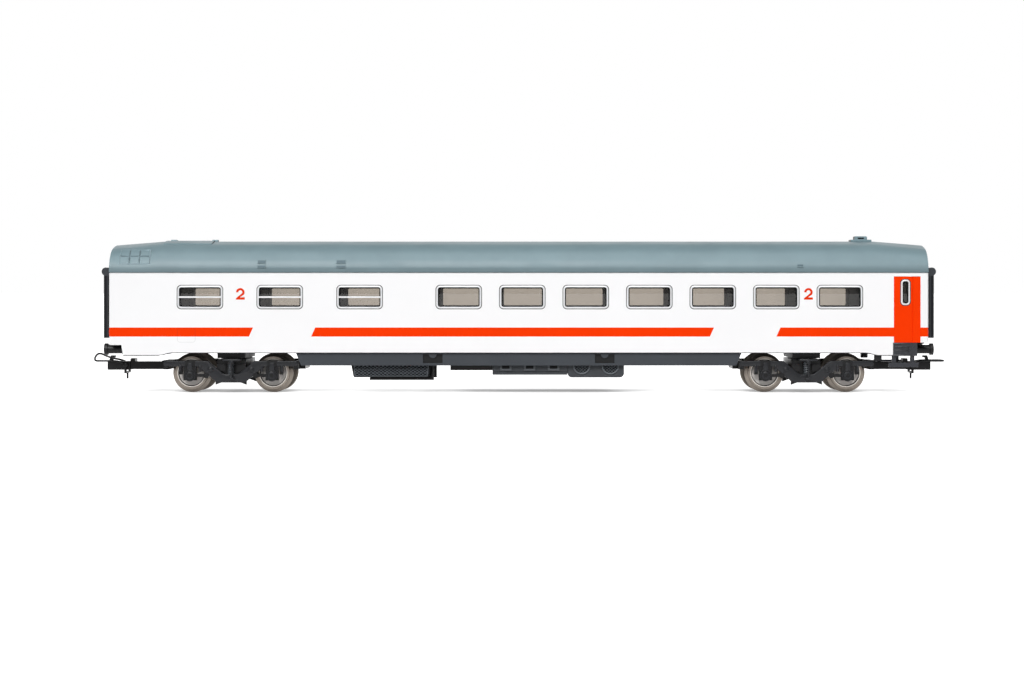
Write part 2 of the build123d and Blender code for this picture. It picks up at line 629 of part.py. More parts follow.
def make_window_frame(x, barred):
    """Near frame of one saloon window: a flange on the wall and a sleeve in its opening."""
    flange = panel(x, WINDOW_Z, WINDOW_WIDTH, WINDOW_HEIGHT, WINDOW_RADIUS, -SIDE - FRAME_PROUD, -SIDE)
    sleeve = panel(x, WINDOW_Z, OPENING_WIDTH - 2 * SLIDE_FIT, OPENING_HEIGHT - 2 * SLIDE_FIT,
                   OPENING_RADIUS, -SIDE, -SIDE + FRAME_DEPTH)
    light = panel(x, WINDOW_Z, PANE_WIDTH, PANE_HEIGHT, PANE_RADIUS, -SIDE - CUT, -SIDE_INNER + CUT)
    frame = flange + sleeve - light
    if barred:
        frame += block(x - PANE_WIDTH / 2, x + PANE_WIDTH / 2, -SIDE - FRAME_PROUD, -SIDE + SLIDE_FIT,
                       WINDOW_Z - BAR_THICKNESS / 2, WINDOW_Z + BAR_THICKNESS / 2)
    return frame


def make_door_frame():
    """Near frame of the door's slot window."""
    ring = panel(DOOR_WINDOW_X, DOOR_WINDOW_Z, DOOR_WINDOW_WIDTH, DOOR_WINDOW_HEIGHT, WINDOW_RADIUS,
                 -DOOR_FACE - FRAME_PROUD, -DOOR_FACE)
    light = panel(DOOR_WINDOW_X, DOOR_WINDOW_Z, DOOR_PANE_WIDTH, DOOR_PANE_HEIGHT, DOOR_PANE_RADIUS,
                  -SIDE - CUT, -SIDE_INNER)
    return ring - light


def make_window_frames():
    """All window frames of the near side."""
    frames = [make_window_frame(x, True) for x in BARRED_WINDOWS]
    frames += [make_window_frame(x, False) for x in PLAIN_WINDOWS]
    return solids_of(frames + [make_door_frame()])


def make_glazing():
    """Near strip of glazing behind the wall, with a raised pane in each window."""
    left = BARRED_FIRST - WINDOW_WIDTH / 2 - GLAZING_LAP
    right = DOOR_WINDOW_X + DOOR_WINDOW_WIDTH / 2 + GLAZING_LAP
    low = WINDOW_Z - WINDOW_HEIGHT / 2 - GLAZING_LAP
    high = DOOR_WINDOW_Z + DOOR_WINDOW_HEIGHT / 2 + GLAZING_LAP
    strip = block(left, right, -SIDE_INNER, -SIDE_INNER + GLAZING_THICKNESS, low, high)
    panes = []
    for x in BARRED_WINDOWS + PLAIN_WINDOWS:
        panes.append(panel(x, WINDOW_Z, PANE_WIDTH - 2 * SLIDE_FIT, PANE_HEIGHT - 2 * SLIDE_FIT,
                           PANE_RADIUS, -SIDE + PANE_RECESS, -SIDE_INNER))
    panes.append(panel(DOOR_WINDOW_X, DOOR_WINDOW_Z, DOOR_PANE_WIDTH - 2 * SLIDE_FIT,
                       DOOR_PANE_HEIGHT - 2 * SLIDE_FIT, DOOR_PANE_RADIUS, -SIDE + PANE_RECESS, -SIDE_INNER))
    return strip + panes


def make_skirt():
    """Near skirt with its clip recesses, hung from the floor's edge."""
    outline = [(-SKIRT_HALF, BODY_BOTTOM), (-SKIRT_HALF + SKIRT_SLANT, SKIRT_BOTTOM),
               (SKIRT_HALF - SKIRT_SLANT, SKIRT_BOTTOM), (SKIRT_HALF, BODY_BOTTOM)]
    skirt = prism_y(outline, -SKIRT_OUTER, -SKIRT_INNER)
    skirt += block(-SKIRT_HALF, SKIRT_HALF, -FLOOR_HALF_WIDTH, -SKIRT_INNER, BODY_BOTTOM, FLOOR_BOTTOM)
    for x in (-CLIP_SPACING / 2, CLIP_SPACING / 2):
        skirt -= block(x - CLIP_WIDTH / 2, x + CLIP_WIDTH / 2, -SKIRT_OUTER - CUT, -SKIRT_OUTER + CLIP_DEPTH,
                       CLIP_BOTTOM, CLIP_TOP)
        tongue = disc_y(x, CLIP_TOP, CLIP_RADIUS, -SKIRT_OUTER, -SKIRT_OUTER + CLIP_DEPTH)
        skirt += tongue & block(x - CLIP_WIDTH, x + CLIP_WIDTH, -SIDE, 0, CLIP_BOTTOM, CLIP_TOP)
    return skirt


def make_underframe():
    """Floor with skirts, bolster pads, end shelves and headstocks."""
    frame = block(-HEADSTOCK_BACK, HEADSTOCK_BACK, -FLOOR_HALF_WIDTH, FLOOR_HALF_WIDTH,
                  FLOOR_BOTTOM, FLOOR_TOP)
    skirt = make_skirt()
    frame += [skirt, across(skirt)]
    pad_half_width = FLOOR_HALF_WIDTH - BOLSTER_INSET
    pad = block(BOGIE_PIVOT_X - BOLSTER_HALF, BOGIE_PIVOT_X + BOLSTER_HALF, -pad_half_width, pad_half_width,
                BOLSTER_BOTTOM, FLOOR_BOTTOM)
    headstock_half_width = FLOOR_HALF_WIDTH - HEADSTOCK_INSET
    headstock = block(HEADSTOCK_BACK, HEADSTOCK_FACE, -headstock_half_width, headstock_half_width,
                      HEADSTOCK_BOTTOM, SHELF_BOTTOM)
    shelf = block(HEADSTOCK_BACK, BODY_HALF - SHELL_WALL - FLOOR_FIT, -FLOOR_HALF_WIDTH, FLOOR_HALF_WIDTH,
                  SHELF_BOTTOM, SHELF_BOTTOM + SHELF_THICKNESS)
    for piece in (pad, headstock, shelf):
        frame += [piece, other_end(piece)]
    well = block(STEP_BOX_LEFT - FLOOR_FIT, DOOR_RIGHT, -SIDE, -STEP_FACE + STEP_BOX_DEPTH + FLOOR_FIT,
                 STEP_BOX_BOTTOM, SHELF_BOTTOM + 2 * SHELF_THICKNESS)
    return frame - [well, across(well)]


def make_battery_box():
    """Battery boxes hung from the floor on both sides, narrower below, each with a sunk mesh panel."""
    def outline(border):
        return [(BATTERY_LEFT + border, SKIRT_BOTTOM),
                (BATTERY_LEFT + BATTERY_TAPER + border, BATTERY_BOTTOM + border),
                (BATTERY_RIGHT - BATTERY_TAPER - border, BATTERY_BOTTOM + border),
                (BATTERY_RIGHT - border, SKIRT_BOTTOM),
                (BATTERY_RIGHT - border, FLOOR_BOTTOM - border),
                (BATTERY_LEFT + border, FLOOR_BOTTOM - border)]
    box = prism_y(outline(0), -BOX_FACE, -BOX_FACE + BATTERY_DEPTH)
    low = [edge for edge in box.edges().filter_by(Axis.Y) if edge.center().Z < SKIRT_BOTTOM - BATTERY_ROUND]
    box = fillet(low, BATTERY_ROUND)
    box -= prism_y(outline(BATTERY_BORDER), -BOX_FACE - CUT, -BOX_FACE + RELIEF)
    return solids_of([box, across(box)])


def make_air_pipe():
    """Air pipe under the battery box on each side, turned up to the floor at its right end."""
    near = -PIPE_Y - PIPE_SIZE / 2
    far = -PIPE_Y + PIPE_SIZE / 2
    pipe = block(PIPE_LEFT, PIPE_RIGHT, near, far, PIPE_BOTTOM, PIPE_BOTTOM + PIPE_SIZE)
    pipe += block(PIPE_RIGHT - PIPE_SIZE, PIPE_RIGHT, near, far, PIPE_BOTTOM, FLOOR_BOTTOM)
    return solids_of([pipe, across(pipe)])


def make_hatch_box():
    """Equipment box with a row of rimmed hatches above a groove on both sides."""
    box = block(HATCH_BOX_LEFT, HATCH_BOX_RIGHT, -BOX_FACE, BOX_FACE, HATCH_BOX_BOTTOM, FLOOR_BOTTOM)
    ledge = HATCH_BOX_BOTTOM + LEDGE_RAISE
    groove = block(HATCH_BOX_LEFT, HATCH_BOX_RIGHT, -BOX_FACE - CUT, -BOX_FACE + RELIEF, ledge,
                   ledge + LEDGE_HEIGHT)
    box -= [groove, across(groove)]
    z = HATCH_BOX_BOTTOM + HATCH_RAISE + HATCH_HEIGHT / 2
    for i in range(HATCH_COUNT):
        x = HATCH_BOX_LEFT + HATCH_FIRST + i * HATCH_PITCH
        hatch = panel(x, z, HATCH_WIDTH, HATCH_HEIGHT, HATCH_ROUND, -BOX_FACE - RELIEF, -BOX_FACE)
        light = panel(x, z, HATCH_WIDTH - 2 * HATCH_RIM, HATCH_HEIGHT - 2 * HATCH_RIM, HATCH_ROUND / 2,
                      -BOX_FACE - CUT, -BOX_FACE + RELIEF)
        box += [hatch, across(hatch)]
        box -= [light, across(light)]
    return box


def make_fan_box():
    """Box with two round fan rims on both sides."""
    box = block(FAN_BOX_LEFT, FAN_BOX_RIGHT, -BOX_FACE, BOX_FACE, FAN_BOX_BOTTOM, FLOOR_BOTTOM)
    lowest = FAN_BOX_BOTTOM + FAN_BOX_RADIUS
    low = [edge for edge in box.edges().filter_by(Axis.Y) if edge.center().Z < lowest]
    box = fillet(low, FAN_BOX_RADIUS)
    for i in range(FAN_COUNT):
        x = FAN_BOX_LEFT + FAN_FIRST + i * FAN_PITCH
        rim = disc_y(x, FAN_Z, FAN_RADIUS, -BOX_FACE - RELIEF, -BOX_FACE)
        rim -= disc_y(x, FAN_Z, FAN_RADIUS - FAN_RIM, -BOX_FACE - CUT, -BOX_FACE)
        box += [rim, across(rim)]
    return box


def make_buffers():
    """Both buffers of the right end: flange, stock and slightly domed head."""
    neck = BUFFER_FACE - BUFFER_HEAD_THICKNESS
    flange = HEADSTOCK_FACE + BUFFER_FLANGE_THICKNESS
    rim = BUFFER_FACE - BUFFER_DOME
    steps = Polyline((BUFFER_FACE, 0), (HEADSTOCK_FACE, 0), (HEADSTOCK_FACE, BUFFER_FLANGE_RADIUS),
                     (flange, BUFFER_FLANGE_RADIUS), (flange, BUFFER_STOCK_RADIUS),
                     (neck, BUFFER_STOCK_RADIUS), (neck, BUFFER_HEAD_RADIUS), (rim, BUFFER_HEAD_RADIUS))
    dome = TangentArc((BUFFER_FACE, 0), (rim, BUFFER_HEAD_RADIUS), tangent=(0, 1))
    buffer = revolve(make_face(steps.edges() + dome.edges()), axis=Axis.X)
    buffer = Pos(0, -BUFFER_SPACING / 2, BUFFER_Z) * buffer
    return solids_of([buffer, across(buffer)])


def make_gangway():
    """Right rubber gangway: two upright tubes under a cross roll that a web holds to the body."""
    section = RectangleRounded(GANGWAY_DEPTH + GANGWAY_TUBE_ROUND, GANGWAY_TUBE_WIDTH, GANGWAY_TUBE_ROUND)
    tube = extrude(section, amount=GANGWAY_ROLL_Z - GANGWAY_BOTTOM)
    tube = Pos(BODY_HALF + (GANGWAY_DEPTH - GANGWAY_TUBE_ROUND) / 2, -GANGWAY_TUBE_SPACING / 2,
               GANGWAY_BOTTOM) * tube
    half = (GANGWAY_TUBE_SPACING + GANGWAY_TUBE_WIDTH) / 2
    roll = disc_y(BODY_HALF + GANGWAY_ROLL_REACH, GANGWAY_ROLL_Z, GANGWAY_ROLL_RADIUS, -half, half)
    web = block(BODY_HALF, BODY_HALF + GANGWAY_ROLL_REACH, -half, half,
                GANGWAY_ROLL_Z - GANGWAY_WEB_HEIGHT / 2, GANGWAY_ROLL_Z + GANGWAY_WEB_HEIGHT / 2)
    front = block(BODY_HALF, BODY_LENGTH, -SIDE, SIDE, 0, ROOF_TOP)
    return (tube + across(tube) + roll + web) & front


def make_door_steps():
    """Near step box under the door, with a lower step on two hangers."""
    face = -STEP_FACE
    back = face + STEP_BOX_DEPTH
    steps = block(STEP_BOX_LEFT, STEP_BOX_RIGHT, face, back, STEP_BOX_BOTTOM, DOOR_BOTTOM)
    steps += block(STEP_BOX_RIGHT, STEP_END_RIGHT, face + STEP_END_SETBACK, back,
                   STEP_BOX_BOTTOM, DOOR_BOTTOM)
    steps -= block(STEP_BOX_LEFT + STEP_PANEL_INSET, STEP_BOX_RIGHT - STEP_PANEL_INSET,
                   face - CUT, face + STEP_PANEL_DEPTH,
                   STEP_BOX_BOTTOM + STEP_LIP_HEIGHT, DOOR_BOTTOM - STEP_TREAD_HEIGHT)
    plate = [(STEP_PLATE_LEFT, STEP_PLATE_TOP), (STEP_PLATE_LEFT + STEP_PLATE_SLANT, STEP_PLATE_BOTTOM),
             (STEP_PLATE_RIGHT - STEP_PLATE_SLANT, STEP_PLATE_BOTTOM), (STEP_PLATE_RIGHT, STEP_PLATE_TOP)]
    steps += prism_y(plate, face, face + STEP_PLATE_DEPTH)
    left = STEP_PLATE_LEFT + STEP_HANGER_INSET
    right = STEP_PLATE_RIGHT - STEP_HANGER_INSET - STEP_HANGER_WIDTH
    for x in (left, right):
        steps += block(x, x + STEP_HANGER_WIDTH, face + STEP_PLATE_DEPTH / 2, face + STEP_PLATE_DEPTH,
                       STEP_PLATE_TOP, STEP_BOX_BOTTOM)
    return steps


def make_wheel(x):
    """Near wheel of an axle at x: flange, tread, grooved tyre, sunk disc and hub."""
    tyre_inner = WHEEL_TREAD_RADIUS - TYRE_THICKNESS
    groove_inner = tyre_inner - TYRE_GROOVE_WIDTH
    profile = [
        (AXLE_RADIUS, WHEEL_INNER),
        (WHEEL_FLANGE_RADIUS - FLANGE_THICKNESS / 3, WHEEL_INNER),
        (WHEEL_FLANGE_RADIUS, WHEEL_INNER + FLANGE_THICKNESS / 3),
        (WHEEL_FLANGE_RADIUS, WHEEL_INNER + FLANGE_THICKNESS / 2),
        (WHEEL_TREAD_RADIUS, WHEEL_INNER + FLANGE_THICKNESS),
        (WHEEL_TREAD_RADIUS, WHEEL_OUTER),
        (tyre_inner, WHEEL_OUTER),
        (tyre_inner, WHEEL_OUTER - TYRE_GROOVE_DEPTH),
        (groove_inner, WHEEL_OUTER - TYRE_GROOVE_DEPTH),
        (groove_inner, WHEEL_OUTER - WHEEL_RECESS),
        (HUB_RADIUS, WHEEL_OUTER - WHEEL_RECESS),
        (HUB_RADIUS, WHEEL_OUTER),
        (AXLE_RADIUS, WHEEL_OUTER),
    ]
    face = make_face(Polyline(*[(r, -y, 0) for r, y in profile], close=True).edges())
    return Pos(x, 0, AXLE_HEIGHT) * revolve(face, axis=Axis.Y)


def make_axle(x):
    """Axle with a thin pin at each end."""
    shoulder = AXLE_HALF_LENGTH - AXLE_PIN_LENGTH
    axle = disc_y(x, AXLE_HEIGHT, AXLE_RADIUS, -shoulder, shoulder)
    return axle + disc_y(x, AXLE_HEIGHT, AXLE_PIN_RADIUS, -AXLE_HALF_LENGTH, AXLE_HALF_LENGTH)


def make_side_beam():
    """Near side beam of a bogie about its pivot: two level arms and a dip between them."""
    flat = BEAM_FLAT / 2
    rise = SIDE_FRAME_TOP - BEAM_TOP
    arm_rise = SIDE_ARM_BOTTOM - BEAM_BOTTOM
    low_flat = flat + BEAM_DEPTH * (hypot(BEAM_SLOPE_RUN, rise) - BEAM_SLOPE_RUN) / rise
    low_flat += BEAM_DEPTH / 2
    half = [(flat, BEAM_TOP), (flat + BEAM_SLOPE_RUN, SIDE_FRAME_TOP), (CROSSBEAM_END, SIDE_FRAME_TOP),
            (CROSSBEAM_END, SIDE_ARM_BOTTOM), (low_flat + BEAM_SLOPE_RUN * arm_rise / rise, SIDE_ARM_BOTTOM),
            (low_flat, BEAM_BOTTOM)]
    outline = half + [(-x, z) for x, z in reversed(half)]
    return prism_y(outline, -SIDE_FRAME_FACE, -SIDE_FRAME_INNER, BEAM_ROUND)


def make_side_frame():
    """Near side frame of a bogie about its pivot: beam, axle boxes, guide arms, hangers and lugs."""
    face = -SIDE_FRAME_FACE
    back = -SIDE_FRAME_INNER
    frame = make_side_beam()
    for sign in (-1, 1):
        axle = sign * WHEELBASE_HALF
        frame += block(axle - PEDESTAL_WIDTH / 2, axle + PEDESTAL_WIDTH / 2, face, back,
                       AXLE_BOX_Z - PEDESTAL_DEPTH, SIDE_ARM_BOTTOM)
        frame += block(axle - HOUSING_WIDTH / 2, axle + HOUSING_WIDTH / 2, face - HOUSING_PROUD, face,
                       SIDE_ARM_BOTTOM, SIDE_FRAME_TOP)
        frame += disc_y(axle, AXLE_BOX_Z, AXLE_BOX_RADIUS, face - AXLE_BOX_PROUD, face)
        frame += disc_y(axle, AXLE_BOX_Z, AXLE_COVER_RADIUS, face - AXLE_COVER_PROUD, face)
        bush = axle - sign * GUIDE_ARM_LENGTH
        frame += block(bush, axle, face, back, AXLE_BOX_Z - GUIDE_ARM_DEPTH / 2,
                       AXLE_BOX_Z + GUIDE_ARM_DEPTH / 2)
        frame += disc_y(bush, AXLE_BOX_Z, GUIDE_BUSH_RADIUS, face - BOLT_PROUD, back)
        hanger = axle + sign * HANGER_OFFSET
        frame += block(hanger, hanger + sign * HANGER_WIDTH, face, back, SIDE_ARM_BOTTOM - HANGER_LENGTH,
                       SIDE_ARM_BOTTOM + SIDE_ARM_DEPTH / 2)
        frame += disc_y(sign * BOLT_OFFSET, BEAM_TOP + BOLT_RAISE, BOLT_RADIUS, face - BOLT_PROUD, face)
        lug = sign * LUG_OFFSET
        lug_inner = lug - sign * LUG_WIDTH
        frame += prism_y([(lug, BEAM_BOTTOM + LUG_ROOT), (lug, BEAM_BOTTOM - LUG_DEPTH),
                          (lug_inner, BEAM_BOTTOM), (lug_inner, BEAM_BOTTOM + LUG_ROOT)], face, back)
        frame -= disc_y(axle, AXLE_HEIGHT, AXLE_PIN_RADIUS + AXLE_PIN_FIT,
                        -AXLE_HALF_LENGTH - AXLE_PIN_FIT, back + CUT)
    return frame


def make_bogie_frame():
    """Right bogie frame at its place, with transom, spring boxes, crossbeams, drawbar and clip block."""
    side = make_side_frame()
    transom = block(-TRANSOM_HALF, TRANSOM_HALF, -TRANSOM_FACE, TRANSOM_FACE, TRANSOM_BOTTOM, TRANSOM_TOP)
    tie = block(-BEAM_FLAT / 2, BEAM_FLAT / 2, -SIDE_FRAME_INNER, SIDE_FRAME_INNER, TRANSOM_BOTTOM, BEAM_TOP)
    seat = block(-SPRING_SEAT_WIDTH / 2, SPRING_SEAT_WIDTH / 2, -SIDE_FRAME_FACE, SIDE_FRAME_FACE,
                 SPRING_TOP, TRANSOM_TOP)
    frame = side + [across(side), transom, tie, seat]
    box_face = TRANSOM_FACE + SPRING_BOX_PROUD
    for sign in (-1, 1):
        frame += block(sign * SPRING_BOX_START, sign * (SPRING_BOX_START + SPRING_BOX_LENGTH),
                       -box_face, box_face, SPRING_BOX_BOTTOM, SPRING_BOX_BOTTOM + SPRING_BOX_HEIGHT)
        frame += block(sign * CROSSBEAM_START, sign * CROSSBEAM_END, -SIDE_FRAME_FACE, SIDE_FRAME_FACE,
                       CROSSBEAM_BOTTOM, CROSSBEAM_TOP)
        frame += block(sign * CROSSBEAM_END, sign * NOSE_END, -NOSE_WIDTH / 2, NOSE_WIDTH / 2,
                       CROSSBEAM_BOTTOM, CROSSBEAM_TOP)
    bar_end = HEAD_START - BOGIE_PIVOT_X
    frame += block(NOSE_END, bar_end, -DRAWBAR_WIDTH / 2, DRAWBAR_WIDTH / 2, DRAWBAR_BOTTOM, DRAWBAR_TOP)
    frame += block(bar_end - CLIP_BLOCK_LENGTH, bar_end, -DRAWBAR_WIDTH / 2, DRAWBAR_WIDTH / 2,
                   DRAWBAR_TOP, DRAWBAR_TOP + CLIP_BLOCK_HEIGHT)
    frame -= disc_z(0, 0, PIVOT_RADIUS + PIVOT_FIT, 0, BOLSTER_BOTTOM)
    return Pos(BOGIE_PIVOT_X, 0, 0) * frame


def make_springs():
    """Both bolster springs of the right bogie: a core with its coils."""
    pitch = (SPRING_TOP - BEAM_TOP) / SPRING_COILS
    outline = [Line((0, SPRING_TOP), (0, BEAM_TOP)), Line((0, BEAM_TOP), (SPRING_CORE_RADIUS, BEAM_TOP))]
    for i in range(SPRING_COILS):
        low = BEAM_TOP + i * pitch
        outline.append(ThreePointArc((SPRING_CORE_RADIUS, low), (SPRING_RADIUS, low + pitch / 2),
                                     (SPRING_CORE_RADIUS, low + pitch)))
    outline.append(Line((SPRING_CORE_RADIUS, SPRING_TOP), (0, SPRING_TOP)))
    spring = Rot(90, 0, 0) * revolve(make_face(outline), axis=Axis.Y)
    return solids_of([Pos(BOGIE_PIVOT_X, side * SPRING_Y, 0) * spring for side in (-1, 1)])


def make_pivot_pin():
    """Right pivot pin: a shank under the bolster pad and a head below the bogie."""
    head_top = TRANSOM_BOTTOM - PIVOT_HEAD_GAP
    pin = disc_z(BOGIE_PIVOT_X, 0, PIVOT_RADIUS, head_top, BOLSTER_BOTTOM)
    return pin + disc_z(BOGIE_PIVOT_X, 0, PIVOT_HEAD_RADIUS, head_top - PIVOT_HEAD_THICKNESS, head_top)


def make_coupler_head():
    """Right coupler head with its hook and the loop's pivot bores."""
    half = HEAD_WIDTH / 2
    head = block(HEAD_START, HEAD_FACE, -half, half, HEAD_BOTTOM, HEAD_TOP)
    back = HEAD_FACE - HOOK_LENGTH
    hook = [(HEAD_FACE, HEAD_TOP), (HEAD_FACE - HOOK_TIP, HOOK_TOP), (back, HOOK_TOP),
            (back, HOOK_TOP - HOOK_TIP), (HEAD_FACE - HOOK_NECK, HOOK_TOP - HOOK_TIP),
            (HEAD_FACE - HOOK_NECK, HEAD_TOP)]
    head += prism_y(hook, -HOOK_WIDTH / 2, HOOK_WIDTH / 2)
    for side in (-1, 1):
        head -= disc_y(LOOP_PIVOT_X, LOOP_PIVOT_Z, LOOP_PIN_RADIUS + LOOP_PIN_FIT,
                       side * (half - LOOP_PIN_ENTRY - LOOP_PIN_FIT), side * (half + CUT))
    return head


def make_coupler_loop(twisted):
    """Right coupler loop: a bent wire on two pivot bosses, with the stirrup and trip pin below."""
    front = LOOP_FRONT - LOOP_WIRE_RADIUS
    near = -LOOP_HALF_WIDTH
    far = LOOP_HALF_WIDTH
    knee = LOOP_PIVOT_X + LOOP_KNEE
    points = [(LOOP_PIVOT_X, near, LOOP_PIVOT_Z), (knee, near, LOOP_Z), (front, near, LOOP_Z)]
    if twisted:
        points += [(BODY_HALF + TWIST_REACH, far, LOOP_Z + TWIST_RAISE),
                   (BODY_HALF + TWIST_KNEE_REACH, far, LOOP_Z + TWIST_KNEE_RAISE)]
    else:
        points += [(front, far, LOOP_Z)]
    points += [(knee, far, LOOP_Z), (LOOP_PIVOT_X, far, LOOP_PIVOT_Z)]
    path = FilletPolyline(*points, radius=LOOP_BEND_RADIUS)
    section = Plane(origin=path @ 0, z_dir=path % 0) * Circle(LOOP_WIRE_RADIUS)
    loop = sweep(section, path=path)
    back = LOOP_PIVOT_X - STIRRUP_LENGTH / 2
    ahead = LOOP_PIVOT_X + STIRRUP_LENGTH / 2
    outer = LOOP_HALF_WIDTH + LOOP_WIRE_RADIUS
    inner = LOOP_HALF_WIDTH - LOOP_WIRE_RADIUS
    for side in (-1, 1):
        loop += disc_y(LOOP_PIVOT_X, LOOP_PIVOT_Z, 2 * LOOP_PIN_RADIUS, side * inner, side * outer)
        loop += disc_y(LOOP_PIVOT_X, LOOP_PIVOT_Z, LOOP_PIN_RADIUS, side * (HEAD_WIDTH / 2 - LOOP_PIN_ENTRY),
                       side * inner)
        loop += block(back, ahead, side * inner, side * outer, STIRRUP_BOTTOM, LOOP_PIVOT_Z)
    loop += block(back, ahead, -outer, outer, STIRRUP_BOTTOM, STIRRUP_TOP)
    return loop + disc_z(LOOP_PIVOT_X, 0, TRIP_PIN_RADIUS, STIRRUP_BOTTOM - TRIP_PIN_LENGTH, STIRRUP_BOTTOM)


def make_ballast():
    """Ballast plate on the floor, between the skirts' ends."""
    half_length = SKIRT_HALF - BALLAST_INSET
    half_width = FLOOR_HALF_WIDTH - BALLAST_SIDE_SPACE
    return block(-half_length, half_length, -half_width, half_width, FLOOR_TOP, FLOOR_TOP + BALLAST_THICKNESS)


os.makedirs("parts", exist_ok=True)

# Body, roof and windows
save("body_shell", make_body_shell())
save("roof", make_roof())
save("roof_ventilator", make_ventilator())
for name, piece in (("window_frames", make_window_frames()), ("glazing", make_glazing()),
                    ("door_steps", make_door_steps())):
    save(f"{name}_near", piece)
    save(f"{name}_far", across(piece))

# Underframe and its equipment
save("underframe", make_underframe())
save("ballast_weight", make_ballast())
save("battery_box", make_battery_box())
save("air_pipe", make_air_pipe())
save("valve_plate", block(VALVE_LEFT, VALVE_RIGHT, -VALVE_FACE, VALVE_FACE, VALVE_BOTTOM, FLOOR_BOTTOM))
save("equipment_box", make_hatch_box())
save("fan_box", make_fan_box())

# Ends and running gear, made at the right end and mirrored to the left
for name, piece in (("buffers", make_buffers()), ("gangway", make_gangway()), ("pivot_pin", make_pivot_pin()),
                    ("bogie_frame", make_bogie_frame()), ("bogie_springs", make_springs()),
                    ("coupler_head", make_coupler_head())):
    save(f"{name}_right", piece)
    save(f"{name}_left", other_end(piece))
save("coupler_loop_right", make_coupler_loop(False))
save("coupler_loop_left", other_end(make_coupler_loop(True)))

# Wheelsets, numbered from the left
axle_places = [pivot + offset for pivot in (-BOGIE_PIVOT_X, BOGIE_PIVOT_X)
               for offset in (-WHEELBASE_HALF, WHEELBASE_HALF)]
for number, x in enumerate(axle_places, start=1):
    wheel = make_wheel(x)
    save(f"axle_{number}", make_axle(x))
    save(f"wheels_{number}", solids_of([wheel, across(wheel)]))
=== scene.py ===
"""Finishes, trim and studio for a model railway coach in 1:87 scale."""

import logging
import math
from contextlib import contextmanager
from dataclasses import dataclass
from enum import Enum
from typing import Callable, Iterator, Optional, Sequence

import bmesh
import bpy
from mathutils import Euler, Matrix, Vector


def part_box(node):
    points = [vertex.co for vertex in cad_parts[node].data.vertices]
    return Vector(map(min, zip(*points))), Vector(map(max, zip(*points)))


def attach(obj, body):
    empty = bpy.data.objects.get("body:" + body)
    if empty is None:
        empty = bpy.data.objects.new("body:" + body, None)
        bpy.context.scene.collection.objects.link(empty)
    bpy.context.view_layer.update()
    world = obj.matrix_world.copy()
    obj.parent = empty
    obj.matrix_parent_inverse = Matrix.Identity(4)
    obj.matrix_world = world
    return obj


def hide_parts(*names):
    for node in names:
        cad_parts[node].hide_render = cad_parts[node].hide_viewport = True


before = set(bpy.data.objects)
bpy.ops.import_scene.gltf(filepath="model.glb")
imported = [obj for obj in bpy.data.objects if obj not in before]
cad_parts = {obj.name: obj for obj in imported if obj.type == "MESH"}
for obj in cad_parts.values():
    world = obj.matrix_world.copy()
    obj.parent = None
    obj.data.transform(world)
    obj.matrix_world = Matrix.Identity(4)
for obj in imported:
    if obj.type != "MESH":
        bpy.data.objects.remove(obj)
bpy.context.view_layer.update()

LOG = logging.getLogger("coach")
MM = 0.001
WELD = 1e-6
SHARP = math.radians(35)
TONE_RANGE = (0.3, 0.7)
Pair = tuple[float, float]
Triple = tuple[float, float, float]
Quad = tuple[float, float, float, float]
Piece = bpy.types.Object
Socket = bpy.types.NodeSocket
Material = bpy.types.Material
Paints = dict[str, Material]


class Place(Enum):
    """A side or an end of the coach, by the sign of its coordinate."""

    @property
    def label(self) -> str:
        """Give the name that the names of pieces end with."""
        return self.name.lower()


class Side(Place):
    """The two long sides of the coach, by the sign of Y."""

    NEAR = -1
    FAR = 1


class End(Place):
    """The two ends of the coach, by the sign of X."""

    LEFT = -1
    RIGHT = 1


class Pick(Enum):
    """What an edit-mode selection is made of."""

    VERTS = "VERT"
    EDGES = "EDGE"
    FACES = "FACE"


class Axis(Enum):
    """Turn that points a primitive's own Z along the coach, to the near side or upwards."""

    X = (0.0, math.pi / 2, 0.0)
    Y = (math.pi / 2, 0.0, 0.0)
    Z = (0.0, 0.0, 0.0)

    def way(self, length: float) -> Vector:
        """Give a step of a length in the direction of the turned Z."""
        return Euler(self.value).to_matrix() @ Vector((0.0, 0.0, length))


# Modelling tools

def linear(red: int, green: int, blue: int) -> Triple:
    """Turn a screen colour of 0 to 255 into scene linear values."""
    shares = (red / 255, green / 255, blue / 255)
    return tuple(s / 12.92 if s <= 0.04045 else ((s + 0.055) / 1.055) ** 2.4 for s in shares)


def metres(point: Sequence[float]) -> Vector:
    """Turn a point in millimetres into one in metres."""
    return Vector(point) * MM


def node_box(node: str) -> tuple[Vector, Vector]:
    """Give a solid's lowest and highest corners in millimetres."""
    low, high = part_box(node)
    return low / MM, high / MM


def make_active(piece: Piece) -> None:
    """Select one piece alone and make it the active one."""
    bpy.ops.object.select_all(action="DESELECT")
    piece.select_set(True)
    bpy.context.view_layer.objects.active = piece


def settle(name: str) -> Piece:
    """Name the active piece and put its place into its mesh."""
    piece = bpy.context.object
    piece.name = name
    piece.data.name = name
    make_active(piece)
    bpy.ops.object.transform_apply(location=True, rotation=True, scale=True)
    return piece


@contextmanager
def shaping(piece: Piece) -> Iterator[None]:
    """Hold a piece in edit mode with all of it selected.

    Args:
        piece: The piece to shape.

    Yields:
        Nothing; edit operators act on the piece meanwhile.
    """
    make_active(piece)
    bpy.ops.object.mode_set(mode="EDIT")
    bpy.ops.mesh.select_mode(type=Pick.VERTS.value)
    bpy.ops.mesh.select_all(action="SELECT")
    yield
    bpy.ops.object.mode_set(mode="OBJECT")


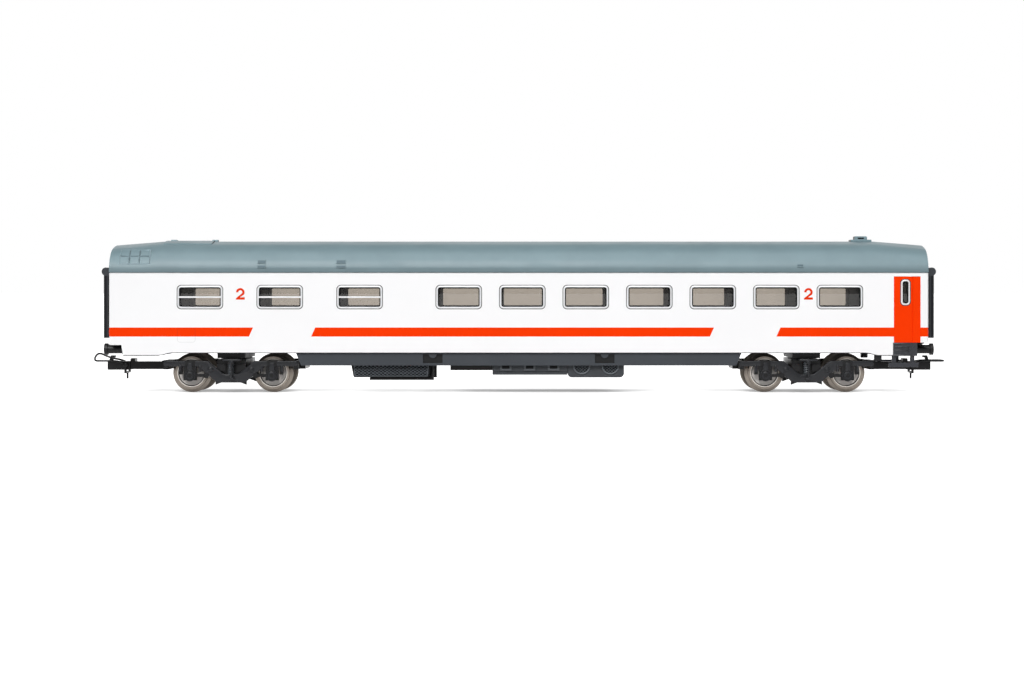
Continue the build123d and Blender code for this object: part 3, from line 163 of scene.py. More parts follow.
def pick(kind: Pick, test: Callable[[object], bool]) -> None:
    """Select the parts of the edited mesh that pass a test.

    Args:
        kind: Whether vertices, edges or faces are tested.
        test: Says whether one of them is wanted.
    """
    bpy.ops.mesh.select_mode(type=kind.value)
    bpy.ops.mesh.select_all(action="DESELECT")
    mesh = bpy.context.edit_object.data
    shape = bmesh.from_edit_mesh(mesh)
    groups = {Pick.VERTS: shape.verts, Pick.EDGES: shape.edges, Pick.FACES: shape.faces}
    for item in [item for item in groups[kind] if test(item)]:
        item.select_set(True)
    shape.select_flush_mode()
    bmesh.update_edit_mesh(mesh)


def extrude(step: Sequence[float]) -> None:
    """Extrude the selected faces by a step in millimetres."""
    bpy.ops.mesh.extrude_region_move(TRANSFORM_OT_translate={"value": metres(step)})


def face_outwards() -> None:
    """Turn all faces of the edited mesh outwards."""
    bpy.ops.mesh.select_all(action="SELECT")
    bpy.ops.mesh.normals_make_consistent(inside=False)


def apply_modifier(piece: Piece, kind: str, **settings: object) -> None:
    """Add a modifier with the given settings and apply it.

    Args:
        piece: The piece to change.
        kind: Blender's name for the kind of modifier.
        settings: Values set on the modifier first.
    """
    make_active(piece)
    modifier = piece.modifiers.new(kind.lower(), kind)
    for key, value in settings.items():
        setattr(modifier, key, value)
    bpy.ops.object.modifier_apply(modifier=modifier.name)


def round_edges(piece: Piece, width: float, segments: int = 2) -> Piece:
    """Round a piece's sharp edges by a width in millimetres, if there is one."""
    if width:
        apply_modifier(piece, "BEVEL", width=width * MM, segments=segments, limit_method="ANGLE",
                       angle_limit=SHARP, use_clamp_overlap=True)
    return piece


def add_primitive(operator: Callable[..., object], name: str, scale: Sequence[float] = (1.0, 1.0, 1.0),
                  **settings: object) -> Piece:
    """Add a primitive with nothing else selected.

    Args:
        operator: Blender's operator for the primitive.
        name: Name of the new piece.
        scale: Factors along the primitive's own axes.
        settings: Values for the operator.

    Returns:
        The primitive, with its place in its mesh.
    """
    bpy.ops.object.select_all(action="DESELECT")
    operator(**settings)
    bpy.context.object.scale = scale
    return settle(name)


def add_rod(name: str, start: Sequence[float], end: Sequence[float], radius: float, rounding: float = 0.0,
            sides: int = 16) -> Piece:
    """Add a round rod between two points.

    Args:
        name: Name of the new piece.
        start: One end in millimetres.
        end: The other end in millimetres.
        radius: Radius in millimetres.
        rounding: Width of the rounding at its ends.
        sides: Number of sides.

    Returns:
        The rod as a closed mesh.
    """
    run = metres(end) - metres(start)
    rod = add_primitive(bpy.ops.mesh.primitive_cylinder_add, name, vertices=sides, radius=radius * MM,
                        depth=run.length, location=(metres(start) + metres(end)) / 2,
                        rotation=run.to_track_quat("Z", "Y").to_euler())
    return round_edges(rod, rounding)


def add_disc(name: str, centre: Sequence[float], radius: float, axis: Axis, sides: int) -> Piece:
    """Add a flat filled circle that faces along an axis."""
    return add_primitive(bpy.ops.mesh.primitive_circle_add, name, vertices=sides, radius=radius * MM,
                         fill_type="NGON", location=metres(centre), rotation=axis.value)


def add_plate(name: str, outline: Sequence[Pair], front: float, back: float, corner: float = 0.0) -> Piece:
    """Add a plate with an outline in X and Z, between two planes across the coach.

    Args:
        name: Name of the new piece.
        outline: Corners as X and Z in millimetres, in order.
        front: Y of the near face.
        back: Y of the far face.
        corner: Radius of the outline's corners.

    Returns:
        The plate as a closed mesh.
    """
    piece = add_disc(name, (0, front, 0), 1.0, Axis.Y, len(outline))
    for vertex, (x, z) in zip(piece.data.vertices, outline):
        vertex.co = metres((x, front, z))
    with shaping(piece):
        if corner:
            bpy.ops.mesh.bevel(offset=corner * MM, segments=4, affect="VERTICES", clamp_overlap=True)
            bpy.ops.mesh.select_all(action="SELECT")
        extrude((0, back - front, 0))
        face_outwards()
    return piece


def add_boss(name: str, centre: Sequence[float], radius: float, depth: float, steps: Sequence[Pair] = (),
             axis: Axis = Axis.Y, sides: int = 32) -> Piece:
    """Add a turned boss, usually one that stands out towards the near side.

    Args:
        name: Name of the new piece.
        centre: Centre of its seat in millimetres.
        radius: Radius at the seat.
        depth: How far its rim stands out.
        steps: Pairs of inset and advance, from the rim to the middle.
        axis: Axis that it stands out along.
        sides: Number of corners.

    Returns:
        The boss as a closed mesh.
    """
    piece = add_disc(name, centre, radius, axis, sides)
    with shaping(piece):
        extrude(axis.way(depth))
        for inset, advance in steps:
            bpy.ops.mesh.inset(thickness=inset * MM, depth=0.0)
            extrude(axis.way(advance))
        face_outwards()
    return piece


def add_lattice(name: str, centre: Sequence[float], reach: Pair, cell: Pair, wire: float,
                cuts: Sequence[tuple[Triple, Triple]] = (), radius: float = 0.0) -> Piece:
    """Add a diamond lattice in a plane that faces the near side.

    Args:
        name: Name of the new piece.
        centre: Middle of the lattice in millimetres.
        reach: Width and height that it has to fill.
        cell: Width and height of one diamond.
        wire: Thickness of the strands.
        cuts: Points and normals of the planes that trim it.
        radius: Radius that it is trimmed to, if it is round.

    Returns:
        The lattice as strands with thickness.
    """
    count = math.ceil(reach[0] / cell[0] + reach[1] / cell[1]) + 1
    piece = add_primitive(bpy.ops.mesh.primitive_grid_add, name, x_subdivisions=count, y_subdivisions=count,
                          size=count, rotation=(0.0, 0.0, math.pi / 4))
    piece.scale = (cell[0] / math.sqrt(2) * MM, cell[1] / math.sqrt(2) * MM, 1.0)
    piece.rotation_euler = Axis.Y.value
    piece.location = metres(centre)
    settle(name)
    with shaping(piece):
        for point, normal in cuts:
            bpy.ops.mesh.select_all(action="SELECT")
            bpy.ops.mesh.bisect(plane_co=metres(point), plane_no=normal, clear_outer=True)
        if radius:
            middle = metres(centre)
            pick(Pick.FACES, lambda face: (face.calc_center_median() - middle).length > radius * MM)
            bpy.ops.mesh.delete(type="FACE")
    apply_modifier(piece, "WIREFRAME", thickness=wire * MM, use_even_offset=False, use_boundary=True)
    return piece


def copy_of(piece: Piece, name: str, step: Sequence[float] = (0, 0, 0),
            flip: Sequence[float] = (1, 1, 1)) -> Piece:
    """Copy a piece with its own mesh, moved and mirrored.

    Args:
        piece: The piece to copy.
        name: Name of the copy.
        step: Move in millimetres.
        flip: Factors of 1 or -1 about the origin, before the move.

    Returns:
        The copy, with its place in its mesh.
    """
    twin = piece.copy()
    twin.data = piece.data.copy()
    bpy.context.collection.objects.link(twin)
    twin.scale = flip
    twin.location = metres(step)
    make_active(twin)
    settle(name)
    if math.prod(flip) < 0:
        with shaping(twin):
            face_outwards()
    return twin


def join(name: str, pieces: Sequence[Piece]) -> Piece:
    """Join pieces into one mesh with the given name."""
    make_active(pieces[0])
    for piece in pieces[1:]:
        piece.select_set(True)
    if len(pieces) > 1:
        bpy.ops.object.join()
    return settle(name)


def hand_over(piece: Piece, body: str, material: Material, replaced: str = "") -> None:
    """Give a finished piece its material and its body.

    Args:
        piece: The finished piece.
        body: Body that it rides on.
        material: Material that covers it.
        replaced: Solid that it stands for, if it does.
    """
    make_active(piece)
    bpy.ops.object.shade_smooth_by_angle(angle=SHARP)
    piece.data.materials.clear()
    piece.data.materials.append(material)
    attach(piece, body)
    if replaced:
        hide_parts(replaced)
    LOG.info("%s: %d faces on %s", piece.name, len(piece.data.polygons), body)


def both_sides(near: Piece, material: Material, replaced: str = "") -> None:
    """Mirror a piece of the near side to the far side and hand both over to the coach.

    Args:
        near: The finished piece, with near in its name.
        material: Material that covers both.
        replaced: Start of the names of the solids that they stand for, if they do.
    """
    piece = near
    for side in Side:
        if side is Side.FAR:
            piece = copy_of(near, near.name.replace("near", "far"), flip=(1, -1, 1))
        hand_over(piece, "coach", material, f"{replaced}_{side.label}" if replaced else "")


@dataclass(frozen=True)
class Block:
    """A box between two corners in millimetres, with rounded edges."""

    name: str
    low: Sequence[float]
    high: Sequence[float]
    rounding: float = 0.0
    segments: int = 2

    def add(self, x: float = 0.0) -> Piece:
        """Add the box, moved along the coach."""
        low, high = (metres(corner) + metres((x, 0, 0)) for corner in (self.low, self.high))
        block = add_primitive(bpy.ops.mesh.primitive_cube_add, self.name, high - low, size=1.0,
                              location=(low + high) / 2)
        return round_edges(block, self.rounding, self.segments)


# Node tools

class Nodes:
    """A node tree with short calls that add and wire nodes."""

    def __init__(self, tree: bpy.types.NodeTree) -> None:
        """Keep the tree that the nodes go into."""
        self.tree = tree

    def feed(self, socket: Socket, value: object) -> None:
        """Wire a socket into another, or set a plain value on it."""
        if isinstance(value, bpy.types.NodeSocket):
            self.tree.links.new(value, socket)
        else:
            socket.default_value = (*value, 1.0) if socket.type == "RGBA" else value

    def add(self, kind: str, inputs: Optional[dict] = None, **settings: object) -> bpy.types.Node:
        """Add a node.

        Args:
            kind: Blender's name for the kind of node.
            inputs: What its inputs are fed with, by name or number.
            settings: Values of its properties.

        Returns:
            The new node.
        """
        node = self.tree.nodes.new(kind)
        for key, value in settings.items():
            setattr(node, key, value)
        for key, value in (inputs or {}).items():
            self.feed(node.inputs[key], value)
        return node

    def math(self, operation: str, *terms: object) -> Socket:
        """Add a math node and return its value."""
        return self.add("ShaderNodeMath", dict(enumerate(terms)), operation=operation).outputs[0]

    def mix(self, share: object, first: object, second: object) -> Socket:
        """Mix two colours by a share and return the result."""
        return self.add("ShaderNodeMix", {"Factor": share, 6: first, 7: second}, data_type="RGBA").outputs[2]

    def ramp(self, value: object, low: float, high: float, start: object = 0.0, end: object = 1.0) -> Socket:
        """Map a value smoothly from one range to another."""
        inputs = {"Value": value, "From Min": low, "From Max": high, "To Min": start, "To Max": end}
        return self.add("ShaderNodeMapRange", inputs, interpolation_type="SMOOTHSTEP").outputs["Result"]

    def split(self, vector: Socket) -> Sequence[Socket]:
        """Give the three parts of a vector."""
        return self.add("ShaderNodeSeparateXYZ", {0: vector}).outputs

    def coordinates(self, kind: str = "Object") -> Socket:
        """Give one kind of texture coordinates."""
        return self.add("ShaderNodeTexCoord").outputs[kind]


class SharedGroup(Nodes):
    """A shader group that several finishes use, built once."""

    def __init__(self, name: str, inputs: dict[str, float], *outputs: str) -> None:
        """Make an empty group.

        Args:
            name: Name of the group.
            inputs: Input names with their usual values.
            outputs: Output names.
        """
        super().__init__(bpy.data.node_groups.new(name, "ShaderNodeTree"))
        for key, value in inputs.items():
            socket = self.tree.interface.new_socket(key, in_out="INPUT", socket_type="NodeSocketFloat")
            socket.default_value = value
        for key in outputs:
            self.tree.interface.new_socket(key, in_out="OUTPUT", socket_type="NodeSocketFloat")
        self.given = self.add("NodeGroupInput").outputs
        self.results = self.add("NodeGroupOutput").inputs

    def noise(self, place: Socket, size: Socket, detail: float) -> Socket:
        """Give noise with patches of a size in millimetres."""
        inputs = {"Vector": place, "Scale": self.math("DIVIDE", 1 / MM, size), "Detail": detail}
        return self.add("ShaderNodeTexNoise", inputs).outputs["Fac"]

    def finish(self, **values: Socket) -> bpy.types.NodeTree:
        """Wire values to the group's outputs and give its tree."""
        for key, value in values.items():
            self.feed(self.results[key], value)
        return self.tree


class SharedGroups:
    """The effects that the finishes share."""

    def __init__(self) -> None:
        """Build every group."""
        self.places = self.make_places()
        self.band = self.make_band()
        self.outline = self.make_outline()
        self.grain = self.make_grain()
        self.handling = self.make_handling()

    def make_places(self) -> bpy.types.NodeTree:
        """Build object coordinates in millimetres, with distances from the middle.

        Returns:
            The group's tree.
        """
        group = SharedGroup("millimetre_places", {}, "X", "Y", "Z", "Along", "Across")
        x, y, z = (group.math("MULTIPLY", part, 1 / MM) for part in group.split(group.coordinates()))
        return group.finish(X=x, Y=y, Z=z, Along=group.math("ABSOLUTE", x), Across=group.math("ABSOLUTE", y))

    def make_band(self) -> bpy.types.NodeTree:
        """Build a mask that is 1 between two values, with a soft edge.

        Returns:
            The group's tree.
        """
        group = SharedGroup("band_mask", {"Value": 0.0, "Low": 0.0, "High": 1.0, "Edge": 0.05}, "Mask")
        value, low, high, edge = (group.given[key] for key in ("Value", "Low", "High", "Edge"))
        rise = group.math("DIVIDE", group.math("SUBTRACT", value, low), edge)
        fall = group.math("DIVIDE", group.math("SUBTRACT", high, value), edge)
        inside = group.math("ADD", group.math("MINIMUM", rise, fall), 0.5)
        return group.finish(Mask=group.ramp(inside, 0.0, 1.0))

    def make_outline(self) -> bpy.types.NodeTree:
        """Build a mask along the outline of a round-cornered rectangle.

        Returns:
            The group's tree.
        """
        inputs = {"U": 0.0, "V": 0.0, "HalfU": 1.0, "HalfV": 1.0, "Corner": 0.3, "Line": 0.1}
        group = SharedGroup("rounded_outline", inputs, "Mask")
        given = group.given
        past = []
        for axis in "UV":
            core = group.math("SUBTRACT", given[f"Half{axis}"], given["Corner"])
            past.append(group.math("SUBTRACT", group.math("ABSOLUTE", given[axis]), core))
        beyond = [group.math("MAXIMUM", value, 0.0) for value in past]
        squares = [group.math("MULTIPLY", value, value) for value in beyond]
        corner = group.math("SQRT", group.math("ADD", *squares))
        within = group.math("MINIMUM", group.math("MAXIMUM", *past), 0.0)
        distance = group.math("SUBTRACT", group.math("ADD", corner, within), given["Corner"])
        share = group.math("DIVIDE", group.math("ABSOLUTE", distance), given["Line"])
        return group.finish(Mask=group.ramp(share, 1.0, 0.4))

    def make_grain(self) -> bpy.types.NodeTree:
        """Build the fine grain of a spark-eroded mould, with a slow change of tone.

        Returns:
            The group's tree.
        """
        group = SharedGroup("moulded_grain", {"Size": 0.3, "Drift": 12.0}, "Height", "Tone")
        place = group.coordinates()
        return group.finish(Height=group.noise(place, group.given["Size"], 3.0),
                            Tone=group.noise(place, group.given["Drift"], 4.0))

    def make_handling(self) -> bpy.types.NodeTree:
        """Build faint streaks and finger marks that dull a finish in places.

        Returns:
            The group's tree.
        """
        group = SharedGroup("handling_marks", {"Size": 6.0, "Amount": 0.1}, "Mask")
        stretch = group.add("ShaderNodeMapping", {"Vector": group.coordinates(), "Scale": (0.35, 1.0, 1.0)})
        patch = group.ramp(group.noise(stretch.outputs[0], group.given["Size"], 6.0), 0.45, 0.7)
        return group.finish(Mask=group.math("MULTIPLY", patch, group.given["Amount"]))


class Brush(Nodes):
    """The nodes of one material, with the shared effects at hand."""

    def __init__(self, name: str, groups: SharedGroups) -> None:
        """Start an empty material with a name."""
        self.material = bpy.data.materials.new(name)
        self.material.use_nodes = True
        self.material.node_tree.nodes.clear()
        super().__init__(self.material.node_tree)
        self.groups = groups

    def group(self, tree: bpy.types.NodeTree, **values: object) -> Sequence[Socket]:
        """Place a shared group, feed its inputs by name and give its outputs."""
        return self.add("ShaderNodeGroup", values, node_tree=tree).outputs

    def places(self) -> Sequence[Socket]:
        """Give the coordinates in millimetres."""
        return self.group(self.groups.places)

    def band(self, value: object, low: float, high: float, edge: float = 0.05) -> Socket:
        """Give 1 between two values, with a soft edge."""
        return self.group(self.groups.band, Value=value, Low=low, High=high, Edge=edge)["Mask"]

    def outline(self, place: Sequence[object], half: Sequence[float], corner: float, line: float) -> Socket:
        """Give 1 along the outline of a round-cornered rectangle."""
        return self.group(self.groups.outline, U=place[0], V=place[1], HalfU=half[0], HalfV=half[1],
                          Corner=corner, Line=line)["Mask"]

    def box_line(self, box: Quad, corner: float, line: float) -> Socket:
        """Give 1 along a rectangle with its middle and half sizes in X and Z."""
        place = self.places()
        middle = [self.math("SUBTRACT", place[key], value) for key, value in zip("XZ", box)]
        return self.outline(middle, box[2:], corner, line)

    def uneven(self, colour: Triple, size: float, less: float, more: float = 0.0) -> Socket:
        """Let a colour drift slowly over the surface.

        Args:
            colour: The colour that is meant.
            size: Size of the patches in millimetres.
            less: Share that dark patches lose.
            more: Share that light patches gain.

        Returns:
            The drifting colour.
        """
        tone = self.group(self.groups.grain, Drift=size)["Tone"]
        dark, light = (tuple(min(value * share, 1.0) for value in colour) for share in (1 - less, 1 + more))
        return self.mix(self.ramp(tone, *TONE_RANGE), dark, light)

    def grained(self, size: float, depth: float, strength: float, edge: float = 0.0) -> Socket:
        """Give the normals of a grained surface.

        Args:
            size: Size of the grain in millimetres.
            depth: Depth of the grain in millimetres.
            strength: Share of the grain that shows.
            edge: Radius that softens the edges, if there is one.

        Returns:
            The normals.
        """
        height = self.group(self.groups.grain, Size=size)["Height"]
        bump = self.add("ShaderNodeBump", {"Strength": strength, "Distance": depth * MM, "Height": height})
        if edge:
            rounding = self.add("ShaderNodeBevel", {"Radius": edge * MM}, samples=4)
            self.feed(bump.inputs["Normal"], rounding.outputs[0])
        return bump.outputs[0]

    def surface(self, inputs: dict[str, object]) -> Material:
        """Wire a principled shader to the output and give the material."""
        shader = self.add("ShaderNodeBsdfPrincipled", inputs)
        self.add("ShaderNodeOutputMaterial", {"Surface": shader.outputs[0]})
        return self.material


# Finishes

@dataclass(frozen=True)
class Finish:
    """A moulded, painted or plated surface."""

    name: str
    colour: Triple
    roughness: float
    tone: float = 0.05
    drift: float = 12.0
    dulling: float = 0.10
    grain_size: float = 0.25
    grain_depth: float = 0.006
    grain_strength: float = 0.6
    metallic: float = 0.0
    specular: float = 0.5
    edge: float = 0.10

    def tint(self, brush: Brush) -> Socket:
        """Give the colour over the surface."""
        return brush.uneven(self.colour, self.drift, self.tone, self.tone)

    def shine(self, brush: Brush) -> object:
        """Give the metallic share over the surface."""
        return self.metallic

    def build(self, groups: SharedGroups) -> Material:
        """Make the material.

        Args:
            groups: The shared effects.

        Returns:
            The finished material.
        """
        brush = Brush(self.name, groups)
        marks = brush.group(groups.handling, Amount=self.dulling)["Mask"]
        return brush.surface({
            "Base Color": self.tint(brush),
            "Metallic": self.shine(brush),
            "Roughness": brush.math("ADD", marks, self.roughness),
            "Specular IOR Level": self.specular,
            "Normal": brush.grained(self.grain_size, self.grain_depth, self.grain_strength, self.edge)})


@dataclass(frozen=True)
class LiveryFinish(Finish):
    """White body paint with the orange stripe and doors, dark inside."""

    drift: float = 20.0
    stripe: Triple = linear(250, 58, 0)
    stripe_tone: float = 0.06
    inside: Triple = linear(13, 13, 13)
    shadow: Triple = linear(58, 58, 60)
    skin: float = 15.6
    end_skin: float = 137.3
    stripe_z: Pair = (19.1, 22.15)
    slant: float = 0.45
    runs: tuple[Pair, ...] = ((-139.0, -90.2), (-69.25, 65.1), (87.5, 139.0))
    door_x: Pair = (126.4, 135.4)
    door_z: Pair = (16.05, 39.36)
    # Painted shade: the shade in the flap's engraved outline is drawn as a faint line in the shadow colour.
    flap: Quad = (-112.0, 19.55, 3.0, 2.35)
    flap_corner: float = 0.9
    flap_line: float = 0.14
    flap_share: float = 0.15
    # Painted shadow: a dark line runs along the body's lower edge, whose level these give along the coach.
    foot: Quad = (116.6, 121.6, 13.45, 12.6)
    foot_line: float = 0.27
    window_z: float = 32.4
    window_half: Pair = (7.64, 3.92)
    window_corner: float = 1.33
    window_rows: tuple[tuple[float, float, int], ...] = ((-107.4, 26.9, 3), (-20.2, 21.4, 7))
    door_window: Quad = (130.35, 34.0, 1.6, 4.35)
    door_corner: float = 1.25
    # Painted shadow: width of the dark line drawn round each window frame.
    gap_line: float = 0.28

    def gap_lines(self, brush: Brush) -> Socket:
        """Paint a thin shadow along the gap round every window frame.

        Args:
            brush: Nodes of the material.

        Returns:
            A mask of the painted shadow lines.
        """
        place = brush.places()
        height = brush.math("SUBTRACT", place["Z"], self.window_z)
        lines = brush.box_line(self.door_window, self.door_corner, self.gap_line)
        for first, pitch, count in self.window_rows:
            along = brush.math("SUBTRACT", place["X"], first)
            repeated = brush.math("WRAP", along, pitch / 2, -pitch / 2)
            line = brush.outline((repeated, height), self.window_half, self.window_corner, self.gap_line)
            row = brush.band(along, -pitch / 2, pitch * (count - 0.5))
            lines = brush.math("MAXIMUM", lines, brush.math("MULTIPLY", line, row))
        return lines

    def orange_mask(self, brush: Brush) -> Socket:
        """Lay out the stripe, with slanted ends, and the doors.

        Args:
            brush: Nodes of the material.

        Returns:
            A mask of both.
        """
        place = brush.places()
        low, high = self.stripe_z
        rise = brush.math("SUBTRACT", place["Z"], (low + high) / 2)
        lean = brush.math("MULTIPLY", brush.math("SIGN", place["Y"]), self.slant)
        sheared = brush.math("MULTIPLY_ADD", rise, lean, place["X"])
        stripe: object = 0.0
        for run in self.runs:
            stripe = brush.math("MAXIMUM", stripe, brush.band(sheared, *run))
        stripe = brush.math("MULTIPLY", stripe, brush.band(place["Z"], low, high))
        door_x = brush.band(place["X"], *self.door_x)
        door_z = brush.band(place["Z"], *self.door_z)
        return brush.math("MAXIMUM", stripe, brush.math("MULTIPLY", door_x, door_z))

    def tint(self, brush: Brush) -> Socket:
        """Paint the sides and ends, and draw the lines on them: painted shadow round the window frames,
        along the lower edge and in the flap's outline.

        Args:
            brush: Nodes of the material.

        Returns:
            The colour over the surface.
        """
        place = brush.places()
        side = brush.math("GREATER_THAN", place["Across"], self.skin)
        end = brush.math("GREATER_THAN", place["Along"], self.end_skin)
        white = brush.uneven(self.colour, self.drift, self.tone)
        orange = brush.uneven(self.stripe, self.drift, self.stripe_tone)
        livery = brush.mix(brush.math("MULTIPLY", self.orange_mask(brush), side), white, orange)
        # Painted shade in the flap's outline.
        flap = brush.box_line(self.flap, self.flap_corner, self.flap_line)
        flapped = brush.mix(brush.math("MULTIPLY", flap, self.flap_share), livery, self.shadow)
        # Painted shadow along the body's lower edge, mixed in with the shadow lines round the window frames.
        foot = brush.math("SUBTRACT", place["Z"], brush.ramp(place["Along"], *self.foot))
        foot_line = brush.math("LESS_THAN", foot, self.foot_line)
        lined = brush.mix(brush.math("MAXIMUM", self.gap_lines(brush), foot_line), flapped, self.shadow)
        return brush.mix(brush.math("MAXIMUM", side, end), self.inside, lined)


@dataclass(frozen=True)
class RoofFinish(Finish):
    """Blue-grey roof paint, dark on the underside, with painted shade at the eaves and over the lower roof.
    """

    drift: float = 9.0
    inside: Triple = linear(26, 26, 27)
    axis_height: float = 38.0
    eaves: float = 40.95
    eaves_soft: float = 0.1
    eaves_shade: float = 0.45
    shoulder: float = 44.0
    shoulder_shade: float = 0.28

    def tint(self, brush: Brush) -> Socket:
        """Paint shade at the eaves and, fading upwards, over the lower roof, and darken the faces that look
        towards the coach's middle line.

        Args:
            brush: Nodes of the material.

        Returns:
            The colour over the surface.
        """
        place = brush.places()
        normal = brush.split(brush.add("ShaderNodeNewGeometry").outputs["True Normal"])
        height = brush.math("SUBTRACT", place["Z"], self.axis_height)
        outward = brush.math("MULTIPLY", normal[2], height)
        for part, key in ((normal[1], "Y"), (normal[0], "X")):
            outward = brush.math("MULTIPLY_ADD", part, place[key], outward)
        outside = brush.math("GREATER_THAN", outward, 0.0)
        soft = self.eaves_soft
        # Painted shade: dark at the eaves, fading up the lower roof to the shoulder, in the underside's dark
        # colour.
        low = brush.ramp(place["Z"], self.eaves + soft, self.eaves - soft, 0.0, self.eaves_shade)
        fade = brush.ramp(place["Z"], self.eaves, self.shoulder, self.shoulder_shade, 0.0)
        shaded = brush.mix(brush.math("MAXIMUM", low, fade), super().tint(brush), self.inside)
        return brush.mix(outside, self.inside, shaded)


@dataclass(frozen=True)
class UnderframeFinish(Finish):
    """Grey skirts with painted shade in the clip pockets, and black from the bogies outwards."""

    drift: float = 16.0
    black: Triple = linear(34, 34, 35)
    pocket_shade: Triple = linear(24, 25, 26)
    skirt_end: float = 75.6
    clip_x: float = 29.0
    clip_half: float = 3.3
    clip_z: Pair = (10.1, 13.1)
    skirt_face: float = 15.35

    def tint(self, brush: Brush) -> Socket:
        """Colour the skirts and the ends, and paint shade in the clip pockets.

        Args:
            brush: Nodes of the material.

        Returns:
            The colour over the surface.
        """
        place = brush.places()
        # Painted shade: the recessed clip pockets are coloured dark.
        from_clip = brush.math("ABSOLUTE", brush.math("SUBTRACT", place["Along"], self.clip_x))
        wide = brush.math("LESS_THAN", from_clip, self.clip_half)
        deep = brush.math("LESS_THAN", place["Across"], self.skirt_face)
        high = brush.band(place["Z"], *self.clip_z)
        pocket_shade = brush.math("MULTIPLY", brush.math("MULTIPLY", wide, deep), high)
        ends = brush.math("GREATER_THAN", place["Along"], self.skirt_end)
        return brush.mix(ends, brush.mix(pocket_shade, super().tint(brush), self.pocket_shade), self.black)


@dataclass(frozen=True)
class BellowsFinish(Finish):
    """Rubber of the gangways, with a lighter rib down the middle of each tube."""

    drift: float = 6.0
    rib: Triple = linear(62, 64, 68)
    rib_x: Pair = (139.5, 140.0)
    rib_edge: float = 0.2
    rib_share: float = 0.6
    roll_z: Pair = (39.55, 39.65)

    def tint(self, brush: Brush) -> Socket:
        """Lighten the rib and the roll over the door.

        Args:
            brush: Nodes of the material.

        Returns:
            The colour over the surface.
        """
        place = brush.places()
        rubber = brush.uneven(self.colour, self.drift, self.tone)
        rib = brush.math("MULTIPLY", brush.band(place["Along"], *self.rib_x, self.rib_edge), self.rib_share)
        roll = brush.ramp(place["Z"], *self.roll_z)
        return brush.mix(brush.math("MAXIMUM", rib, roll), rubber, self.rib)


@dataclass(frozen=True)
class WheelFinish(Finish):
    """Turned wheel: moulded disc in the finish's colour, painted shade in the groove, a bright ring of
    painted highlight and darker tyre.
    """

    # Painted shade: the dark groove between the disc and the ring.
    groove_shade: Triple = linear(40, 39, 38)
    # Painted highlight: the bright ring stands for the light on the chamfer at the tyre's inner edge.
    ring: Triple = linear(202, 197, 190)
    tyre: Triple = linear(134, 126, 118)
    pivot: float = 97.4
    half_base: float = 13.875
    axle: float = 6.65
    edges: Triple = (4.3, 4.55, 4.85)
    soft: float = 0.06

    def past(self, brush: Brush, edge: float) -> Socket:
        """Tell what lies farther than a distance from the nearest axle.

        Args:
            brush: Nodes of the material.
            edge: The distance in millimetres.

        Returns:
            A mask that is 1 there, with a soft edge.
        """
        place = brush.places()
        from_pivot = brush.math("ABSOLUTE", brush.math("SUBTRACT", place["Along"], self.pivot))
        along = brush.math("SUBTRACT", from_pivot, self.half_base)
        height = brush.math("SUBTRACT", place["Z"], self.axle)
        squares = brush.math("MULTIPLY_ADD", along, along, brush.math("MULTIPLY", height, height))
        return brush.ramp(brush.math("SQRT", squares), edge - self.soft, edge + self.soft)

    def tint(self, brush: Brush) -> Socket:
        """Colour the wheel in rings, with painted shade in the groove and a painted highlight on the ring.
        """
        colour: object = self.colour
        for edge, outer in zip(self.edges, (self.groove_shade, self.ring, self.tyre)):
            colour = brush.mix(self.past(brush, edge), colour, outer)
        return colour

    def shine(self, brush: Brush) -> Socket:
        """Make the ring and the tyre metal, and leave the disc plastic."""
        return self.past(brush, self.edges[1])


@dataclass(frozen=True)
class GlazingFinish:
    """Tinted clear plastic of the window strips, with faint ripples from the mould."""

    name: str
    colour: Triple
    roughness: float = 0.0
    refraction: float = 1.46
    ripple: Triple = (4.0, 0.01, 0.02)

    def build(self, groups: SharedGroups) -> Material:
        """Make the material."""
        brush = Brush(self.name, groups)
        return brush.surface({"Base Color": self.colour, "Metallic": 0.0, "Roughness": self.roughness,
                              "IOR": self.refraction, "Transmission Weight": 1.0,
                              "Normal": brush.grained(*self.ripple)})


